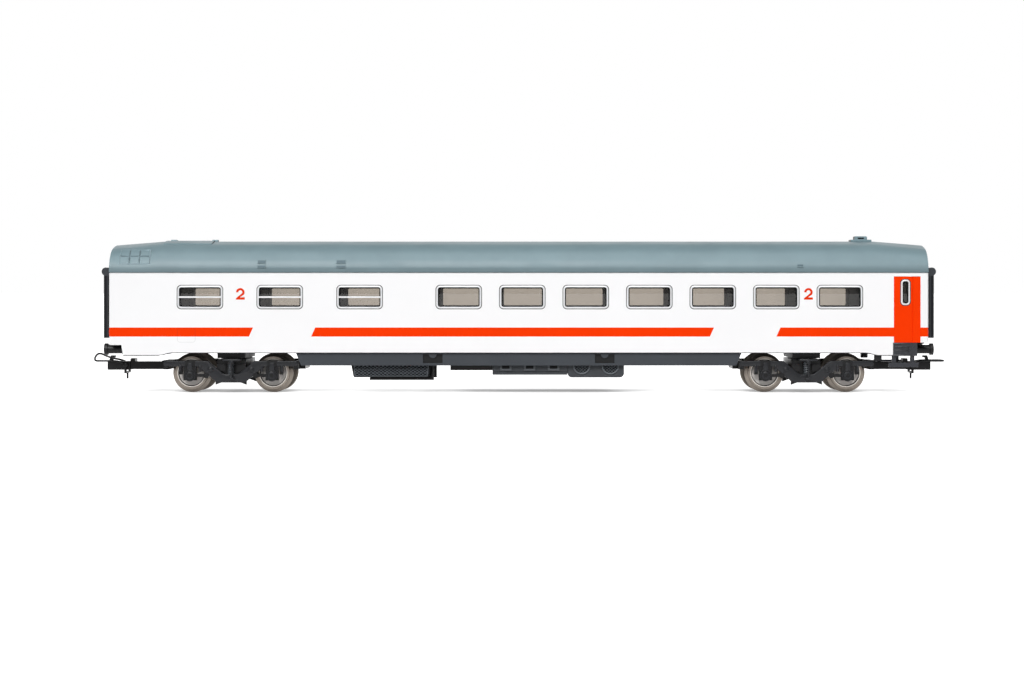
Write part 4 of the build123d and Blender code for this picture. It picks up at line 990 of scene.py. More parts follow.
FINISHES = {
    "livery": LiveryFinish("white_livery", linear(248, 248, 249), 0.34, tone=0.012, specular=0.04),
    "roof": RoofFinish("roof_paint", linear(124, 147, 154), 0.34, tone=0.04, specular=0.26),
    "frame": Finish("silver_frame", linear(232, 233, 235), 0.3, metallic=0.15, edge=0.0),
    "bar": Finish("white_bar", linear(244, 244, 245), 0.34, specular=0.2, edge=0.0),
    "glass": GlazingFinish("tinted_window", (0.61, 0.573, 0.527)),
    "skirt": UnderframeFinish("skirt_plastic", linear(62, 66, 71), 0.45, specular=0.2),
    "boxes": Finish("box_plastic", linear(58, 61, 65), 0.45, specular=0.25, edge=0.15),
    "mesh": Finish("mesh_plastic", linear(92, 97, 102), 0.42, specular=0.3, edge=0.0),
    # Painted light: a lighter copy of the box plastic, as highlight on the hatch rims and as light on the
    # coil springs that sit in shade.
    "rim": Finish("rim_plastic", linear(72, 76, 80), 0.36, specular=0.35, edge=0.0),
    # Painted shade: a flat dark colour for the hatch and fan openings, the ventilator slots, the end door
    # panes, the battery box behind its lattice and the rings inside the window frames; the pipe guards are
    # dark in it too.
    "void": Finish("dark_opening", linear(20, 21, 22), 0.6, specular=0.1, edge=0.0),
    "gear": Finish("gear_plastic", linear(30, 30, 31), 0.3, specular=0.17, edge=0.12),
    # Painted light: a lighter copy of the gear plastic for the bogies' front faces, lit where the frames
    # behind are in shade.
    "face": Finish("frame_face_plastic", linear(39, 40, 43), 0.28, specular=0.22, edge=0.15),
    "gloss": Finish("step_plastic", linear(42, 44, 50), 0.2, specular=0.4, edge=0.12),
    "rubber": BellowsFinish("gangway_rubber_finish", linear(25, 26, 30), 0.5, specular=0.12),
    "wheel": WheelFinish("turned_wheel", linear(208, 203, 199), 0.36, edge=0.05),
    "steel": Finish("plain_bright_steel", linear(150, 150, 152), 0.35, metallic=1.0),
    "numeral": Finish("numeral_print", linear(226, 56, 14), 0.4, specular=0.08, edge=0.0),
    # Painted highlight: lighter than the roof paint, for the light on the grille strips and the catches.
    "roof_trim": Finish("roof_trim_paint", linear(158, 180, 187), 0.4, specular=0.25, edge=0.0),
    # Painted shade: darker than the roof paint, for the shade in the recessed louvres.
    "louvre": Finish("louvre_paint", linear(96, 116, 124), 0.5, specular=0.2, edge=0.0),
    "lens": Finish("red_lens", linear(150, 12, 10), 0.12, edge=0.0),
}


# Pieces of the coach

@dataclass(frozen=True)
class Opening:
    """A window's frame: its middle, outer size and corners, and the wall's distance from the middle."""

    x: float
    z: float
    width: float
    height: float
    corner: float
    wall: float

    def pane(self, name: str, sunk: float, border: float, segments: int) -> Piece:
        """Lay a flat round-cornered pane in the opening, facing the near side.

        Args:
            name: Name of the new piece.
            sunk: How far it lies behind the wall's face.
            border: How far its edge lies inside the frame's outer edge.
            segments: Segments of each corner.

        Returns:
            The pane.
        """
        scale = ((self.width - 2 * border) * MM, (self.height - 2 * border) * MM, 1.0)
        pane = add_primitive(bpy.ops.mesh.primitive_plane_add, name, scale, size=1.0, rotation=Axis.Y.value,
                             location=metres((self.x, sunk - self.wall, self.z)))
        with shaping(pane):
            bpy.ops.mesh.bevel(offset=(self.corner - border) * MM, segments=segments, affect="VERTICES")
        return pane


@dataclass
class WindowTrim:
    """Plated frames of the windows, dark rings of painted shade inside them, and the bars of the three
    barred ones.
    """

    paint: Paints
    window: Opening = Opening(-20.2, 32.4, 15.2, 7.75, 1.3, 16.25)
    door: Opening = Opening(130.35, 34.0, 3.1, 8.6, 1.2, 16.05)
    barred: Triple = (-107.4, -80.5, -53.6)
    plain_pitch: float = 21.4
    plain_count: int = 7
    slope: float = 0.3
    lip: float = 0.26
    proud: float = 0.25
    sleeve: float = 0.9
    rounding: float = 0.05
    least_bend: float = 0.2
    bar_height: float = 0.55
    bar_back: float = 0.2
    bar_depth: float = 0.28
    # Painted shade: a dark ring inside each frame, where the inner reveal is in shadow.
    seal: float = 0.42
    seal_overlap: float = 0.05
    seal_depth: float = 0.18
    seal_thickness: float = 0.2

    def frame_in(self, name: str, opening: Opening) -> Piece:
        """Model one frame on the near side.

        Args:
            name: Name of the piece.
            opening: The window.

        Returns:
            The frame as a closed mesh.
        """
        piece = opening.pane(name, 0.0, 0.0, 5)
        front = -(opening.wall + self.proud) * MM
        with shaping(piece):
            bpy.ops.mesh.inset(thickness=self.slope * MM, depth=0.0)
            bpy.ops.transform.translate(value=metres((0, -self.proud, 0)))
            bpy.ops.mesh.inset(thickness=self.lip * MM, depth=0.0)
            extrude((0, self.proud + self.sleeve, 0))
            bpy.ops.mesh.delete(type="ONLY_FACE")
            pick(Pick.EDGES, lambda edge: edge.is_boundary)
            bpy.ops.mesh.bridge_edge_loops()
            pick(Pick.EDGES, lambda edge: all(abs(v.co.y - front) < WELD for v in edge.verts)
                 and edge.calc_face_angle(0.0) > self.least_bend)
            bpy.ops.mesh.bevel(offset=self.rounding * MM, segments=2, affect="EDGES", clamp_overlap=True)
            face_outwards()
        return piece

    def seal_in(self, name: str, opening: Opening) -> Piece:
        """Model the dark ring of painted shade inside one frame of the near side.

        Args:
            name: Name of the piece.
            opening: The window.

        Returns:
            The painted shade as a closed ring.
        """
        piece = opening.pane(name, self.seal_depth, self.slope + self.lip - self.seal_overlap, 4)
        with shaping(piece):
            bpy.ops.mesh.inset(thickness=self.seal * MM, depth=0.0)
            bpy.ops.mesh.delete(type="FACE")
        apply_modifier(piece, "SOLIDIFY", thickness=self.seal_thickness * MM, offset=0.0)
        return piece

    def bar_at(self, x: float) -> Piece:
        """Model the bar across one barred window."""
        half = self.window.width / 2 - self.slope - self.lip / 2
        rise = self.bar_height / 2
        low = (x - half, -self.window.wall - self.bar_back, self.window.z - rise)
        high = (x + half, -self.window.wall + self.bar_depth, self.window.z + rise)
        return Block("window_bar", low, high, self.rounding).add()

    def row(self, name: str, model: Callable[[str, Opening], Piece]) -> Piece:
        """Model one window's piece, copy it to the other windows and join the door's to them.

        Args:
            name: Name of the joined piece.
            model: Models the piece of one window.

        Returns:
            The pieces of the near side as one.
        """
        master = model("window_piece", self.window)
        plain = [self.plain_pitch * i for i in range(1, self.plain_count)]
        barred = [x - self.window.x for x in self.barred]
        copies = [copy_of(master, "window_piece", (step, 0, 0)) for step in (*plain, *barred)]
        return join(name, [master, model("door_piece", self.door), *copies])

    def build(self) -> None:
        """Model the frames, bars and rings of painted shade of the near side and mirror them to the far
        side.
        """
        frames = self.row("bright_frames_near", self.frame_in)
        reveal_shades = self.row("window_seals_near", self.seal_in)
        bars = join("window_bars_near", [self.bar_at(x) for x in self.barred])
        both_sides(frames, self.paint["frame"], "window_frames")
        both_sides(bars, self.paint["bar"])
        both_sides(reveal_shades, self.paint["void"])


@dataclass
class CoilSprings:
    """The big coil springs at the middle of each bogie's sides."""

    paint: Paints
    wire: float = 0.34
    turns: int = 5
    steps: int = 20
    wire_sides: int = 8
    seat_rounding: float = 0.08

    def coil(self, name: str, foot: Triple, radius: float, height: float) -> list[Piece]:
        """Wind one coil and give it a seat at each end.

        Args:
            name: Name of the pieces.
            foot: Middle of the coil's lower end.
            radius: Outer radius.
            height: Height over both seats.

        Returns:
            The coil and its two seats.
        """
        wound = add_primitive(bpy.ops.mesh.primitive_circle_add, name, vertices=self.wire_sides,
                              radius=self.wire * MM, rotation=Axis.Y.value,
                              location=metres((radius - self.wire, 0, self.wire)))
        pitch = (height - 2 * self.wire) / self.turns
        apply_modifier(wound, "SCREW", axis="Z", angle=2 * math.pi, screw_offset=pitch * MM,
                       iterations=self.turns, steps=self.steps, render_steps=self.steps,
                       use_merge_vertices=True, merge_threshold=WELD)
        with shaping(wound):
            pick(Pick.EDGES, lambda edge: edge.is_boundary)
            bpy.ops.mesh.edge_face_add()
            face_outwards()
            bpy.ops.transform.translate(value=metres(foot))
        x, y, z = foot
        seats = [add_boss(name, (x, y, level), radius, self.wire, axis=Axis.Z, sides=24)
                 for level in (z, z + height - self.wire)]
        return [wound, *(round_edges(seat, self.seat_rounding) for seat in seats)]

    def build(self) -> None:
        """Wind a coil in each spring's place and stand it between two seats."""
        for end in End:
            low, high = node_box(f"bogie_springs_{end.label}")
            radius = (high.x - low.x) / 2
            coils = []
            for side in Side:
                foot = ((low.x + high.x) / 2, side.value * (high.y - radius), low.z)
                coils += self.coil(f"coil_{end.label}", foot, radius, high.z - low.z)
            # Painted light: the coils take the lighter rim finish, though they sit in shade.
            hand_over(join(f"coil_springs_{end.label}", coils), f"bogie_{end.label}",
                      self.paint["rim"], f"bogie_springs_{end.label}")


@dataclass
class BogieTrim:
    """Rounded skins, axle covers, bolts and guide rods on the near sides of the bogies, about a pivot."""

    paint: Paints
    pivot: float = 97.4
    axle: float = 13.875
    half_beam: tuple[Pair, ...] = (
        (2.35, 6.22), (7.9, 10.84), (22.82, 10.84), (22.82, 8.96), (11.35, 8.96), (4.75, 3.46))
    beam_y: Pair = (-13.34, -12.74)
    beam_corner: float = 0.8
    beam_rounding: float = 0.26
    cover_z: float = 5.85
    cover_face: float = 13.6
    cover_radius: float = 1.98
    cover_depth: float = 0.16
    cover_steps: tuple[Pair, ...] = ((0.3, -0.16), (0.3, 0.3), (0.35, 0.2), (0.3, -0.25))
    bolt_circle: float = 1.75
    bolt_radius: float = 0.2
    bolt_depth: float = 0.34
    pin: Triple = (6.9, -13.2, 7.75)
    pin_radius: float = 1.0
    pin_depth: float = 0.3
    pin_steps: tuple[Pair, ...] = ((0.22, 0.18), (0.25, 0.16))
    turned_rounding: float = 0.06
    axle_blocks: tuple[Block, ...] = (
        Block("horn_guide", (-3.8, -13.6, 7.1), (-3.0, -12.6, 9.4), 0.18),
        Block("horn_guide", (3.0, -13.6, 7.1), (3.8, -12.6, 9.4), 0.18),
        Block("axle_neck", (-0.9, -13.75, 7.55), (0.9, -12.8, 10.3), 0.3, 3))
    guide_blocks: tuple[Block, ...] = (
        Block("spring_bracket", (-2.7, -14.9, 10.75), (3.5, -12.6, 11.5), 0.2),
        Block("bracket_stem", (-0.3, -14.9, 9.75), (1.1, -13.2, 10.95), 0.15),
        Block("rod_foot", (-0.4, -15.1, 4.4), (1.2, -13.2, 5.15), 0.15))
    rod: tuple[Triple, Triple] = ((0.4, -14.75, 4.9), (0.4, -14.75, 10.8))
    rod_radius: float = 0.3
    rod_rounding: float = 0.05

    def axle_cover(self, sign: int) -> list[Piece]:
        """Model the cover of one axle box, with its bolts, its guides and the pin beside it.

        Args:
            sign: Side of the pivot that the axle is on.

        Returns:
            The pieces.
        """
        u = sign * self.axle
        cover = add_boss("axle_cover", (u, -self.cover_face, self.cover_z), self.cover_radius,
                         self.cover_depth, self.cover_steps)
        pin = add_boss("beam_pin", (sign * self.pin[0], *self.pin[1:]), self.pin_radius, self.pin_depth,
                       self.pin_steps)
        pieces = [round_edges(piece, self.turned_rounding) for piece in (cover, pin)]
        for angle in (45, 135, 225, 315):
            turn = math.radians(angle)
            place = (u + self.bolt_circle * math.cos(turn), -self.cover_face,
                     self.cover_z + self.bolt_circle * math.sin(turn))
            pieces.append(add_boss("cover_bolt", place, self.bolt_radius, self.bolt_depth, sides=6))
        return pieces + [block.add(u) for block in self.axle_blocks]

    def build(self) -> None:
        """Trim one side about its pivot and copy it to both sides of both bogies."""
        outline = [*self.half_beam, *((-u, z) for u, z in reversed(self.half_beam))]
        skin = add_plate("beam_skin", outline, *self.beam_y, self.beam_corner)
        pieces = [round_edges(skin, self.beam_rounding, 3), *self.axle_cover(-1), *self.axle_cover(1)]
        pieces += [block.add() for block in self.guide_blocks]
        pieces.append(add_rod("guide_rod", *self.rod, self.rod_radius, self.rod_rounding))
        master = join("bogie_trim", pieces)
        for end in End:
            step = (end.value * self.pivot, 0, 0)
            sides = [copy_of(master, "bogie_trim_side", step, (1, -side.value, 1)) for side in Side]
            # Painted light: the trim takes the lighter face finish.
            hand_over(join(f"bogie_trim_{end.label}", sides), f"bogie_{end.label}",
                      self.paint["face"])
        bpy.data.objects.remove(master)


@dataclass
class CouplerLoops:
    """Bent wire loops of the couplers, with their pivots, stirrups and trip pins, at the right end."""

    paint: Paints
    pivot: Pair = (135.0, 9.1)
    half_width: float = 3.65
    wire: float = 0.34
    weld: float = 0.01
    knee: Pair = (136.6, 10.5)
    bend: Pair = (143.05, 10.5)
    front: Pair = (146.05, 10.5)
    twist: tuple[Pair, ...] = ((145.9, 13.4), (141.8, 11.3))
    stirrup: tuple[Block, ...] = (
        Block("stirrup", (134.64, -3.95, 6.23), (135.36, 3.95, 6.9), 0.15),
        Block("stirrup_ear", (134.6, -3.99, 6.2), (135.4, -3.31, 9.1), 0.15),
        Block("stirrup_ear", (134.6, 3.31, 6.2), (135.4, 3.99, 9.1), 0.15))
    boss_y: Pair = (3.21, 4.09)
    boss_radius: float = 0.85
    boss_rounding: float = 0.08
    pin: tuple[Triple, Triple] = ((135.0, 0.0, 4.3), (135.0, 0.0, 6.4))
    pin_rounding: float = 0.1

    def bent_wire(self, name: str, points: Sequence[Triple]) -> Piece:
        """Bend a wire along control points and make it a mesh.

        Args:
            name: Name of the piece.
            points: The control points in millimetres.

        Returns:
            The wire as a closed mesh.
        """
        bpy.ops.object.select_all(action="DESELECT")
        bpy.ops.curve.primitive_nurbs_path_add()
        curve = bpy.context.object
        spline = curve.data.splines[0]
        spline.points.add(len(points) - len(spline.points))
        for control, point in zip(spline.points, points):
            control.co = (*metres(point), 1.0)
        spline.order_u = 3
        spline.use_endpoint_u = True
        spline.resolution_u = 8
        curve.data.bevel_depth = self.wire * MM
        curve.data.bevel_resolution = 3
        curve.data.use_fill_caps = True
        make_active(curve)
        bpy.ops.object.convert(target="MESH")
        piece = settle(name)
        with shaping(piece):
            bpy.ops.mesh.remove_doubles(threshold=self.weld * MM)
            bpy.ops.mesh.normals_make_consistent(inside=False)
        return piece

    def route(self, end: End) -> list[Triple]:
        """Give the wire's control points, from the near pivot to the far one.

        Args:
            end: End of the coach; the left loop is twisted upwards on its far side.

        Returns:
            The points in millimetres.
        """
        near = (self.pivot, self.knee, self.bend, self.front)
        far = (*(self.twist if end is End.LEFT else (self.front, self.bend)), self.knee, self.pivot)
        return [*((x, -self.half_width, z) for x, z in near), *((x, self.half_width, z) for x, z in far)]

    def build(self) -> None:
        """Bend both loops and turn the left one to its end."""
        x, z = self.pivot
        for end in End:
            pieces = [self.bent_wire("loop_wire", self.route(end)), *(block.add() for block in self.stirrup)]
            for side in Side:
                start, stop = ((x, side.value * y, z) for y in self.boss_y)
                pieces.append(add_rod("pivot_boss", start, stop, self.boss_radius, self.boss_rounding, 24))
            pieces.append(add_rod("trip_pin", *self.pin, self.wire, self.pin_rounding))
            right = join("coupler_wire", pieces)
            loop = copy_of(right, f"coupler_wire_{end.label}", flip=(end.value, 1, 1))
            bpy.data.objects.remove(right)
            hand_over(loop, f"loop_{end.label}", self.paint["gear"],
                      f"coupler_loop_{end.label}")


@dataclass
class UnderfloorTrim:
    """Lattices, openings, hatch rims and pipe guards on the boxes under the floor."""

    paint: Paints
    skirt_bottom: float = 9.3
    taper: float = 0.8
    border: float = 0.5
    mesh_proud: float = 0.1
    mesh_overlap: float = 0.2
    mesh_cell: Pair = (1.35, 0.95)
    strand: float = 0.4
    fans: Pair = (21.25, 30.95)
    fan_z: float = 9.2
    fan_radius: float = 2.95
    fan_sunk: float = 0.1
    fan_mesh: float = 2.6
    fan_cell: Pair = (1.1, 0.95)
    fan_strand: float = 0.34
    fan_rim: float = 0.25
    fan_void: Triple = (2.75, 0.36, 0.1)
    hatches: Triple = (-4.4, 3.7, 11.8)
    hatch_z: Pair = (8.15, 9.7)
    hatch_half: float = 1.3
    hatch_rim: float = 0.7
    void_proud: float = 0.24
    rim_proud: float = 0.15
    hatch_depth: float = 0.5
    void_rounding: float = 0.14
    rim_rounding: float = 0.2
    guard_rise: float = 1.3
    guard_width: float = 1.5
    guard_insets: Pair = (0.1, 0.2)
    guard_depth: float = 0.6
    guard_rounding: float = 0.1

    def battery_mesh(self) -> Piece:
        """Weave the lattice on the battery box, trimmed to its tapering outline.

        Returns:
            The lattice.
        """
        low, high = node_box("battery_box")
        face = low.y - self.mesh_proud
        top = self.skirt_bottom + self.mesh_overlap
        bottom = low.z + self.border
        lean = self.taper / (high.z - low.z)
        inset = self.border + self.taper
        cuts = [((0, face, bottom), (0, 0, -1)), ((0, face, top), (0, 0, 1)),
                ((low.x + inset, face, low.z), (-1, 0, -lean)),
                ((high.x - inset, face, low.z), (1, 0, -lean))]
        return add_lattice("battery_mesh", ((low.x + high.x) / 2, face, (bottom + top) / 2),
                           (high.x - low.x, top - bottom), self.mesh_cell, self.strand, cuts)

    def fan_grille(self, x: float, face: float) -> list[Piece]:
        """Weave a round lattice in one fan's rim, with a rounded ring about it.

        Args:
            x: Middle of the fan.
            face: Y of the box's face.

        Returns:
            The lattice and the ring.
        """
        span = 2 * self.fan_radius
        lattice = add_lattice("fan_mesh", (x, face + self.fan_sunk, self.fan_z), (span, span), self.fan_cell,
                              self.fan_strand, radius=self.fan_mesh)
        ring = add_primitive(bpy.ops.mesh.primitive_torus_add, "fan_rim", rotation=Axis.Y.value,
                             location=metres((x, face, self.fan_z)), major_segments=40, minor_segments=8,
                             major_radius=(self.fan_radius - self.fan_rim) * MM,
                             minor_radius=self.fan_rim * MM)
        return [lattice, ring]

    def pipe_guards(self) -> list[Piece]:
        """Box in the lower and the right part of the air pipe's near side.

        Returns:
            The two guards.
        """
        low, high = node_box("air_pipe")
        first, second = self.guard_insets
        guards = ((low.x + first, low.z + self.guard_rise, first),
                  (high.x - self.guard_width, self.skirt_bottom, second))
        return [Block("pipe_guard", (left, low.y + inset, low.z + inset),
                      (high.x - inset, low.y + self.guard_depth, top), self.guard_rounding).add()
                for left, top, inset in guards]

    def build(self) -> None:
        """Model the near side and mirror it to the far side."""
        box_face = node_box("equipment_box")[0].y
        fan_face = node_box("fan_box")[0].y
        low, high = self.hatch_z
        back = box_face + self.hatch_depth
        meshes = [self.battery_mesh()]
        # Painted shade: the hatch openings and the fans' backs are dark blocks and discs in the dark opening
        # colour.
        voids = []
        rims = []
        for x in self.hatches:
            half = self.hatch_half
            voids.append(Block("hatch_void", (x - half, box_face - self.void_proud, low),
                               (x + half, back, high), self.void_rounding).add())
            half += self.hatch_rim
            rims.append(Block("hatch_rim", (x - half, box_face - self.rim_proud, low - self.hatch_rim),
                              (x + half, back, high), self.rim_rounding, 3).add())
        radius, sunk, depth = self.fan_void
        for x in self.fans:
            meshes += self.fan_grille(x, fan_face)
            voids.append(add_boss("fan_void", (x, fan_face + sunk, self.fan_z), radius, depth))
        voids += self.pipe_guards()
        # Painted highlight: the hatch rims take the lighter rim finish.
        for name, pieces, key in (("box_meshes_near", meshes, "mesh"), ("box_openings_near", voids, "void"),
                                  ("hatch_rims_near", rims, "rim")):
            both_sides(join(name, pieces), self.paint[key])


@dataclass
class StepTrim:
    """Lips and brackets of the door steps."""

    paint: Paints
    lip_x: Pair = (126.2, 132.3)
    lip_face: float = 16.12
    lips: tuple[Pair, ...] = ((16.75, 0.28), (15.6, 0.16), (14.5, 0.16), (12.8, 0.24))
    lip_rounding: float = 0.08
    plate_x: Pair = (124.7, 134.7)
    plate_sunk: float = 0.3
    plate_lips: Pair = (10.05, 9.05)
    plate_radius: float = 0.28
    plate_rounding: float = 0.12
    bracket: Block = Block("step_bracket_near", (120.05, -15.3, 11.0), (122.5, -13.7, 14.3), 0.2)

    def build(self) -> None:
        """Model the near side and mirror it to the far side."""
        face = node_box("door_steps_near")[0].y + self.plate_sunk
        rods = [("step_lip", self.lip_x, -self.lip_face, level, radius, self.lip_rounding)
                for level, radius in self.lips]
        rods += [("plate_lip", self.plate_x, face, level, self.plate_radius, self.plate_rounding)
                 for level in self.plate_lips]
        lips = [add_rod(name, (left, y, level), (right, y, level), radius, rounding)
                for name, (left, right), y, level, radius, rounding in rods]
        both_sides(join("step_lips_near", lips), self.paint["gloss"])
        both_sides(self.bracket.add(), self.paint["gear"])


@dataclass
class RoofTrim:
    """Grilles and louvres on the roof's shoulders, catches and ventilator slots on its crown."""

    paint: Paints
    grille: Quad = (-134.6, -124.6, 43.7, 48.2)
    grille_cells: tuple[int, int] = (3, 2)
    grille_strip: float = 0.66
    louvres: tuple[Pair, ...] = ((-86.7, 2.5), (-59.95, 2.9))
    louvre_levels: tuple[Pair, ...] = ((42.35, 42.95), (43.85, 44.75))
    single_louvre: Quad = (93.95, 95.85, 42.8, 43.35)
    louvre_cells: tuple[int, int] = (4, 4)
    louvre_plate: float = 0.14
    clear: float = 20.0
    catches: Pair = (-118.8, -104.6)
    catch_half: Pair = (0.95, 1.5)
    catch_rise: Pair = (-0.5, 0.32)
    catch_rounding: float = 0.12
    slot_x: Pair = (116.45, 118.65)
    slot_y: float = 1.8
    slot_half: float = 0.06
    slot_drop: Pair = (-0.95, -0.45)
    slot_rounding: float = 0.05

    def on_shoulder(self, name: str, place: Quad, cells: tuple[int, int]) -> Piece:
        """Press a grid onto the near shoulder of the roof.

        Args:
            name: Name of the new piece.
            place: Left and right ends, lowest and highest levels.
            cells: Number of cells along and up.

        Returns:
            The grid, as thin as a sheet.
        """
        left, right, low, high = place
        piece = add_primitive(
            bpy.ops.mesh.primitive_grid_add, name, ((right - left) * MM, (high - low) * MM, 1.0), size=1.0,
            x_subdivisions=cells[0], y_subdivisions=cells[1], rotation=Axis.Y.value,
            location=metres(((left + right) / 2, -self.clear, (low + high) / 2)))
        apply_modifier(piece, "SHRINKWRAP", target=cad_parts["roof"], wrap_method="PROJECT",
                       use_project_y=True, use_positive_direction=True, use_negative_direction=False)
        return piece

    def louvre(self, place: Quad) -> Piece:
        """Lay one louvre's plate on the near shoulder."""
        piece = self.on_shoulder("roof_louvre", place, self.louvre_cells)
        apply_modifier(piece, "SOLIDIFY", thickness=self.louvre_plate * MM, offset=0.0)
        return piece

    def build(self) -> None:
        """Model the roof's trim on both shoulders and along the crown."""
        grille = self.on_shoulder("roof_grilles_near", self.grille, self.grille_cells)
        apply_modifier(grille, "WIREFRAME", thickness=self.grille_strip * MM, use_boundary=True,
                       use_even_offset=False)
        # Painted highlight: the grille takes the lighter trim finish.
        both_sides(grille, self.paint["roof_trim"])
        places = [(x - width / 2, x + width / 2, *levels) for x, width in self.louvres
                  for levels in self.louvre_levels]
        slats = [self.louvre(place) for place in (*places, self.single_louvre)]
        # Painted shade: the louvres take the darker louvre finish.
        both_sides(join("roof_louvres_near", slats), self.paint["louvre"])
        top = node_box("roof")[1].z
        half_x, half_y = self.catch_half
        low, high = (top + rise for rise in self.catch_rise)
        catch = Block("roof_catch", (-half_x, -half_y, low), (half_x, half_y, high), self.catch_rounding)
        # Painted highlight: the catches take the lighter trim finish.
        hand_over(join("roof_catches", [catch.add(x) for x in self.catches]), "coach",
                  self.paint["roof_trim"])
        low, high = (node_box("roof_ventilator")[1].z + drop for drop in self.slot_drop)
        left, right = self.slot_x
        slots = []
        for side in Side:
            y = side.value * self.slot_y
            slots.append(Block("vent_slot", (left, y - self.slot_half, low),
                               (right, y + self.slot_half, high), self.slot_rounding).add())
        # Painted shade: the ventilator's slots are dark blocks in the dark opening colour.
        hand_over(join("vent_slots", slots), "coach", self.paint["void"])


@dataclass
class EndTrim:
    """End doors, tail lamps and handrails on both end walls, modelled at the right end."""

    paint: Paints
    leaf: Block = Block("end_door", (137.48, -5.6, 18.6), (137.84, 5.6, 39.2), 0.1)
    panel: Block = Block("door_panel", (137.68, -3.8, 19.8), (137.98, 3.8, 27.1), 0.12)
    handle: tuple[Triple, Triple] = ((138.13, 4.4, 26.0), (138.13, 4.4, 29.0))
    handle_radius: float = 0.2
    handle_rounding: float = 0.08
    pane: Block = Block("end_pane", (137.68, -3.0, 28.5), (137.9, 3.0, 36.5))
    pane_corner: float = 0.9
    lamp: Triple = (138.08, 13.3, 20.6)
    lamp_rim: Pair = (1.15, 0.35)
    lamp_lens: Pair = (0.85, 0.5)
    lamp_rounding: float = 0.12
    rail_x: float = 138.7
    rail_y: float = 14.6
    rail_z: Pair = (23.0, 31.0)
    rail_radius: float = 0.2
    rail_rounding: float = 0.06
    feet_z: Pair = (23.3, 30.7)
    foot_x: float = 138.0
    foot_radius: float = 0.16

    def lamp_part(self, side: Side, size: Pair) -> Piece:
        """Turn the rim or the lens of one tail lamp."""
        x, y, z = self.lamp
        part = add_boss("tail_lamp", (x, side.value * y, z), *size, axis=Axis.X, sides=28)
        return round_edges(part, self.lamp_rounding, 3)

    def rail(self, side: Side) -> list[Piece]:
        """Bend one handrail with its two feet.

        Args:
            side: Side of the end wall.

        Returns:
            The rail and its feet.
        """
        y = side.value * self.rail_y
        start, stop = ((self.rail_x, y, z) for z in self.rail_z)
        feet = [add_rod("rail_foot", (self.foot_x, y, z), (self.rail_x, y, z), self.foot_radius, sides=10)
                for z in self.feet_z]
        return [add_rod("end_rail", start, stop, self.rail_radius, self.rail_rounding), *feet]

    def build(self) -> None:
        """Model the right end and mirror it to the left."""
        handle = add_rod("door_handle", *self.handle, self.handle_radius, self.handle_rounding)
        door = join("end_door", [self.leaf.add(), self.panel.add(), handle])
        pane = self.pane.add()
        with shaping(pane):
            pick(Pick.EDGES, lambda edge: abs(edge.verts[0].co.x - edge.verts[1].co.x) > 10 * WELD)
            bpy.ops.mesh.bevel(offset=self.pane_corner * MM, segments=5, affect="EDGES", clamp_overlap=True)
        fittings = []
        for side in Side:
            fittings += [self.lamp_part(side, self.lamp_rim), *self.rail(side)]
        lenses = [self.lamp_part(side, self.lamp_lens) for side in Side]
        # The end door's pane takes the dark opening colour: painted shade behind the window.
        for piece, slot, key in ((door, "shell_white", "frame"), (pane, "glazing_tinted", "void"),
                                 (join("tail_lenses", lenses), "shell_white", "lens"),
                                 (join("end_fittings", fittings), "running_gear_black", "gear")):
            for end in End:
                twin = copy_of(piece, f"{piece.name}_{end.label}", flip=(end.value, 1, 1))
                hand_over(twin, "coach", self.paint[key])
            bpy.data.objects.remove(piece)


@dataclass
class ClassNumerals:
    """Plain class numerals printed beside the windows."""

    paint: Paints
    height: float = 3.9
    width: float = 3.0
    stroke: float = 0.76
    bowl: float = 1.44
    bowl_end: int = -32
    turn: int = 14
    tail: float = 0.42
    knee: float = 1.36
    places: tuple[Pair, ...] = ((-93.8, 33.5), (97.6, 33.5))
    side_face: float = 16.25
    film: float = 0.03

    def arc(self, radius: float, x: float, z: float) -> list[Pair]:
        """Give the points of the bowl's arc, from its left end over the top to its lower right."""
        turns = [math.radians(angle) for angle in range(180, self.bowl_end - 1, -self.turn)]
        return [(x + radius * math.cos(turn), z + radius * math.sin(turn)) for turn in turns]

    def numeral(self, x: float, z: float) -> Piece:
        """Draw one numeral that reads on the near side: a bowl, a slanted stem and a foot.

        Args:
            x: Middle of the numeral.
            z: Level of its middle.

        Returns:
            The numeral as a thin plate.
        """
        left, right = x - self.width / 2, x + self.width / 2
        foot = z - self.height / 2
        middle = z + self.height / 2 - self.bowl
        outline = [*self.arc(self.bowl, x, middle), (left + self.knee, foot + self.stroke),
                   (right, foot + self.stroke), (right, foot), (left, foot), (left, foot + self.tail),
                   *reversed(self.arc(self.bowl - self.stroke, x, middle))]
        return add_plate("class_numeral", outline, -self.side_face - self.film, -self.side_face + self.film)

    def build(self) -> None:
        """Print the numerals on both sides."""
        near = join("class_numerals_near", [self.numeral(x, z) for x, z in self.places])
        turned = join("class_numerals_turned", [self.numeral(-x, z) for x, z in self.places])
        far = copy_of(turned, "class_numerals_far", flip=(-1, -1, 1))
        bpy.data.objects.remove(turned)
        for piece in (near, far):
            with shaping(piece):
                bpy.ops.mesh.remove_doubles(threshold=WELD)
                bpy.ops.mesh.normals_make_consistent(inside=False)
            hand_over(piece, "coach", self.paint["numeral"])


# Studio

@dataclass(frozen=True)
class Lamp:
    """A distant lamp, with its height, turn and spread in degrees."""

    name: str
    strength: float
    height: float
    turn: float
    spread: float
    diffuse: bool

    def hang(self) -> None:
        """Add the lamp to the scene."""
        lamp = bpy.data.lights.new(self.name, "SUN")
        lamp.energy = self.strength
        lamp.angle = math.radians(self.spread)
        holder = bpy.data.objects.new(self.name, lamp)
        holder.rotation_euler = (math.radians(90 - self.height), 0.0, math.radians(self.turn))
        holder.visible_diffuse = self.diffuse
        bpy.context.collection.objects.link(holder)


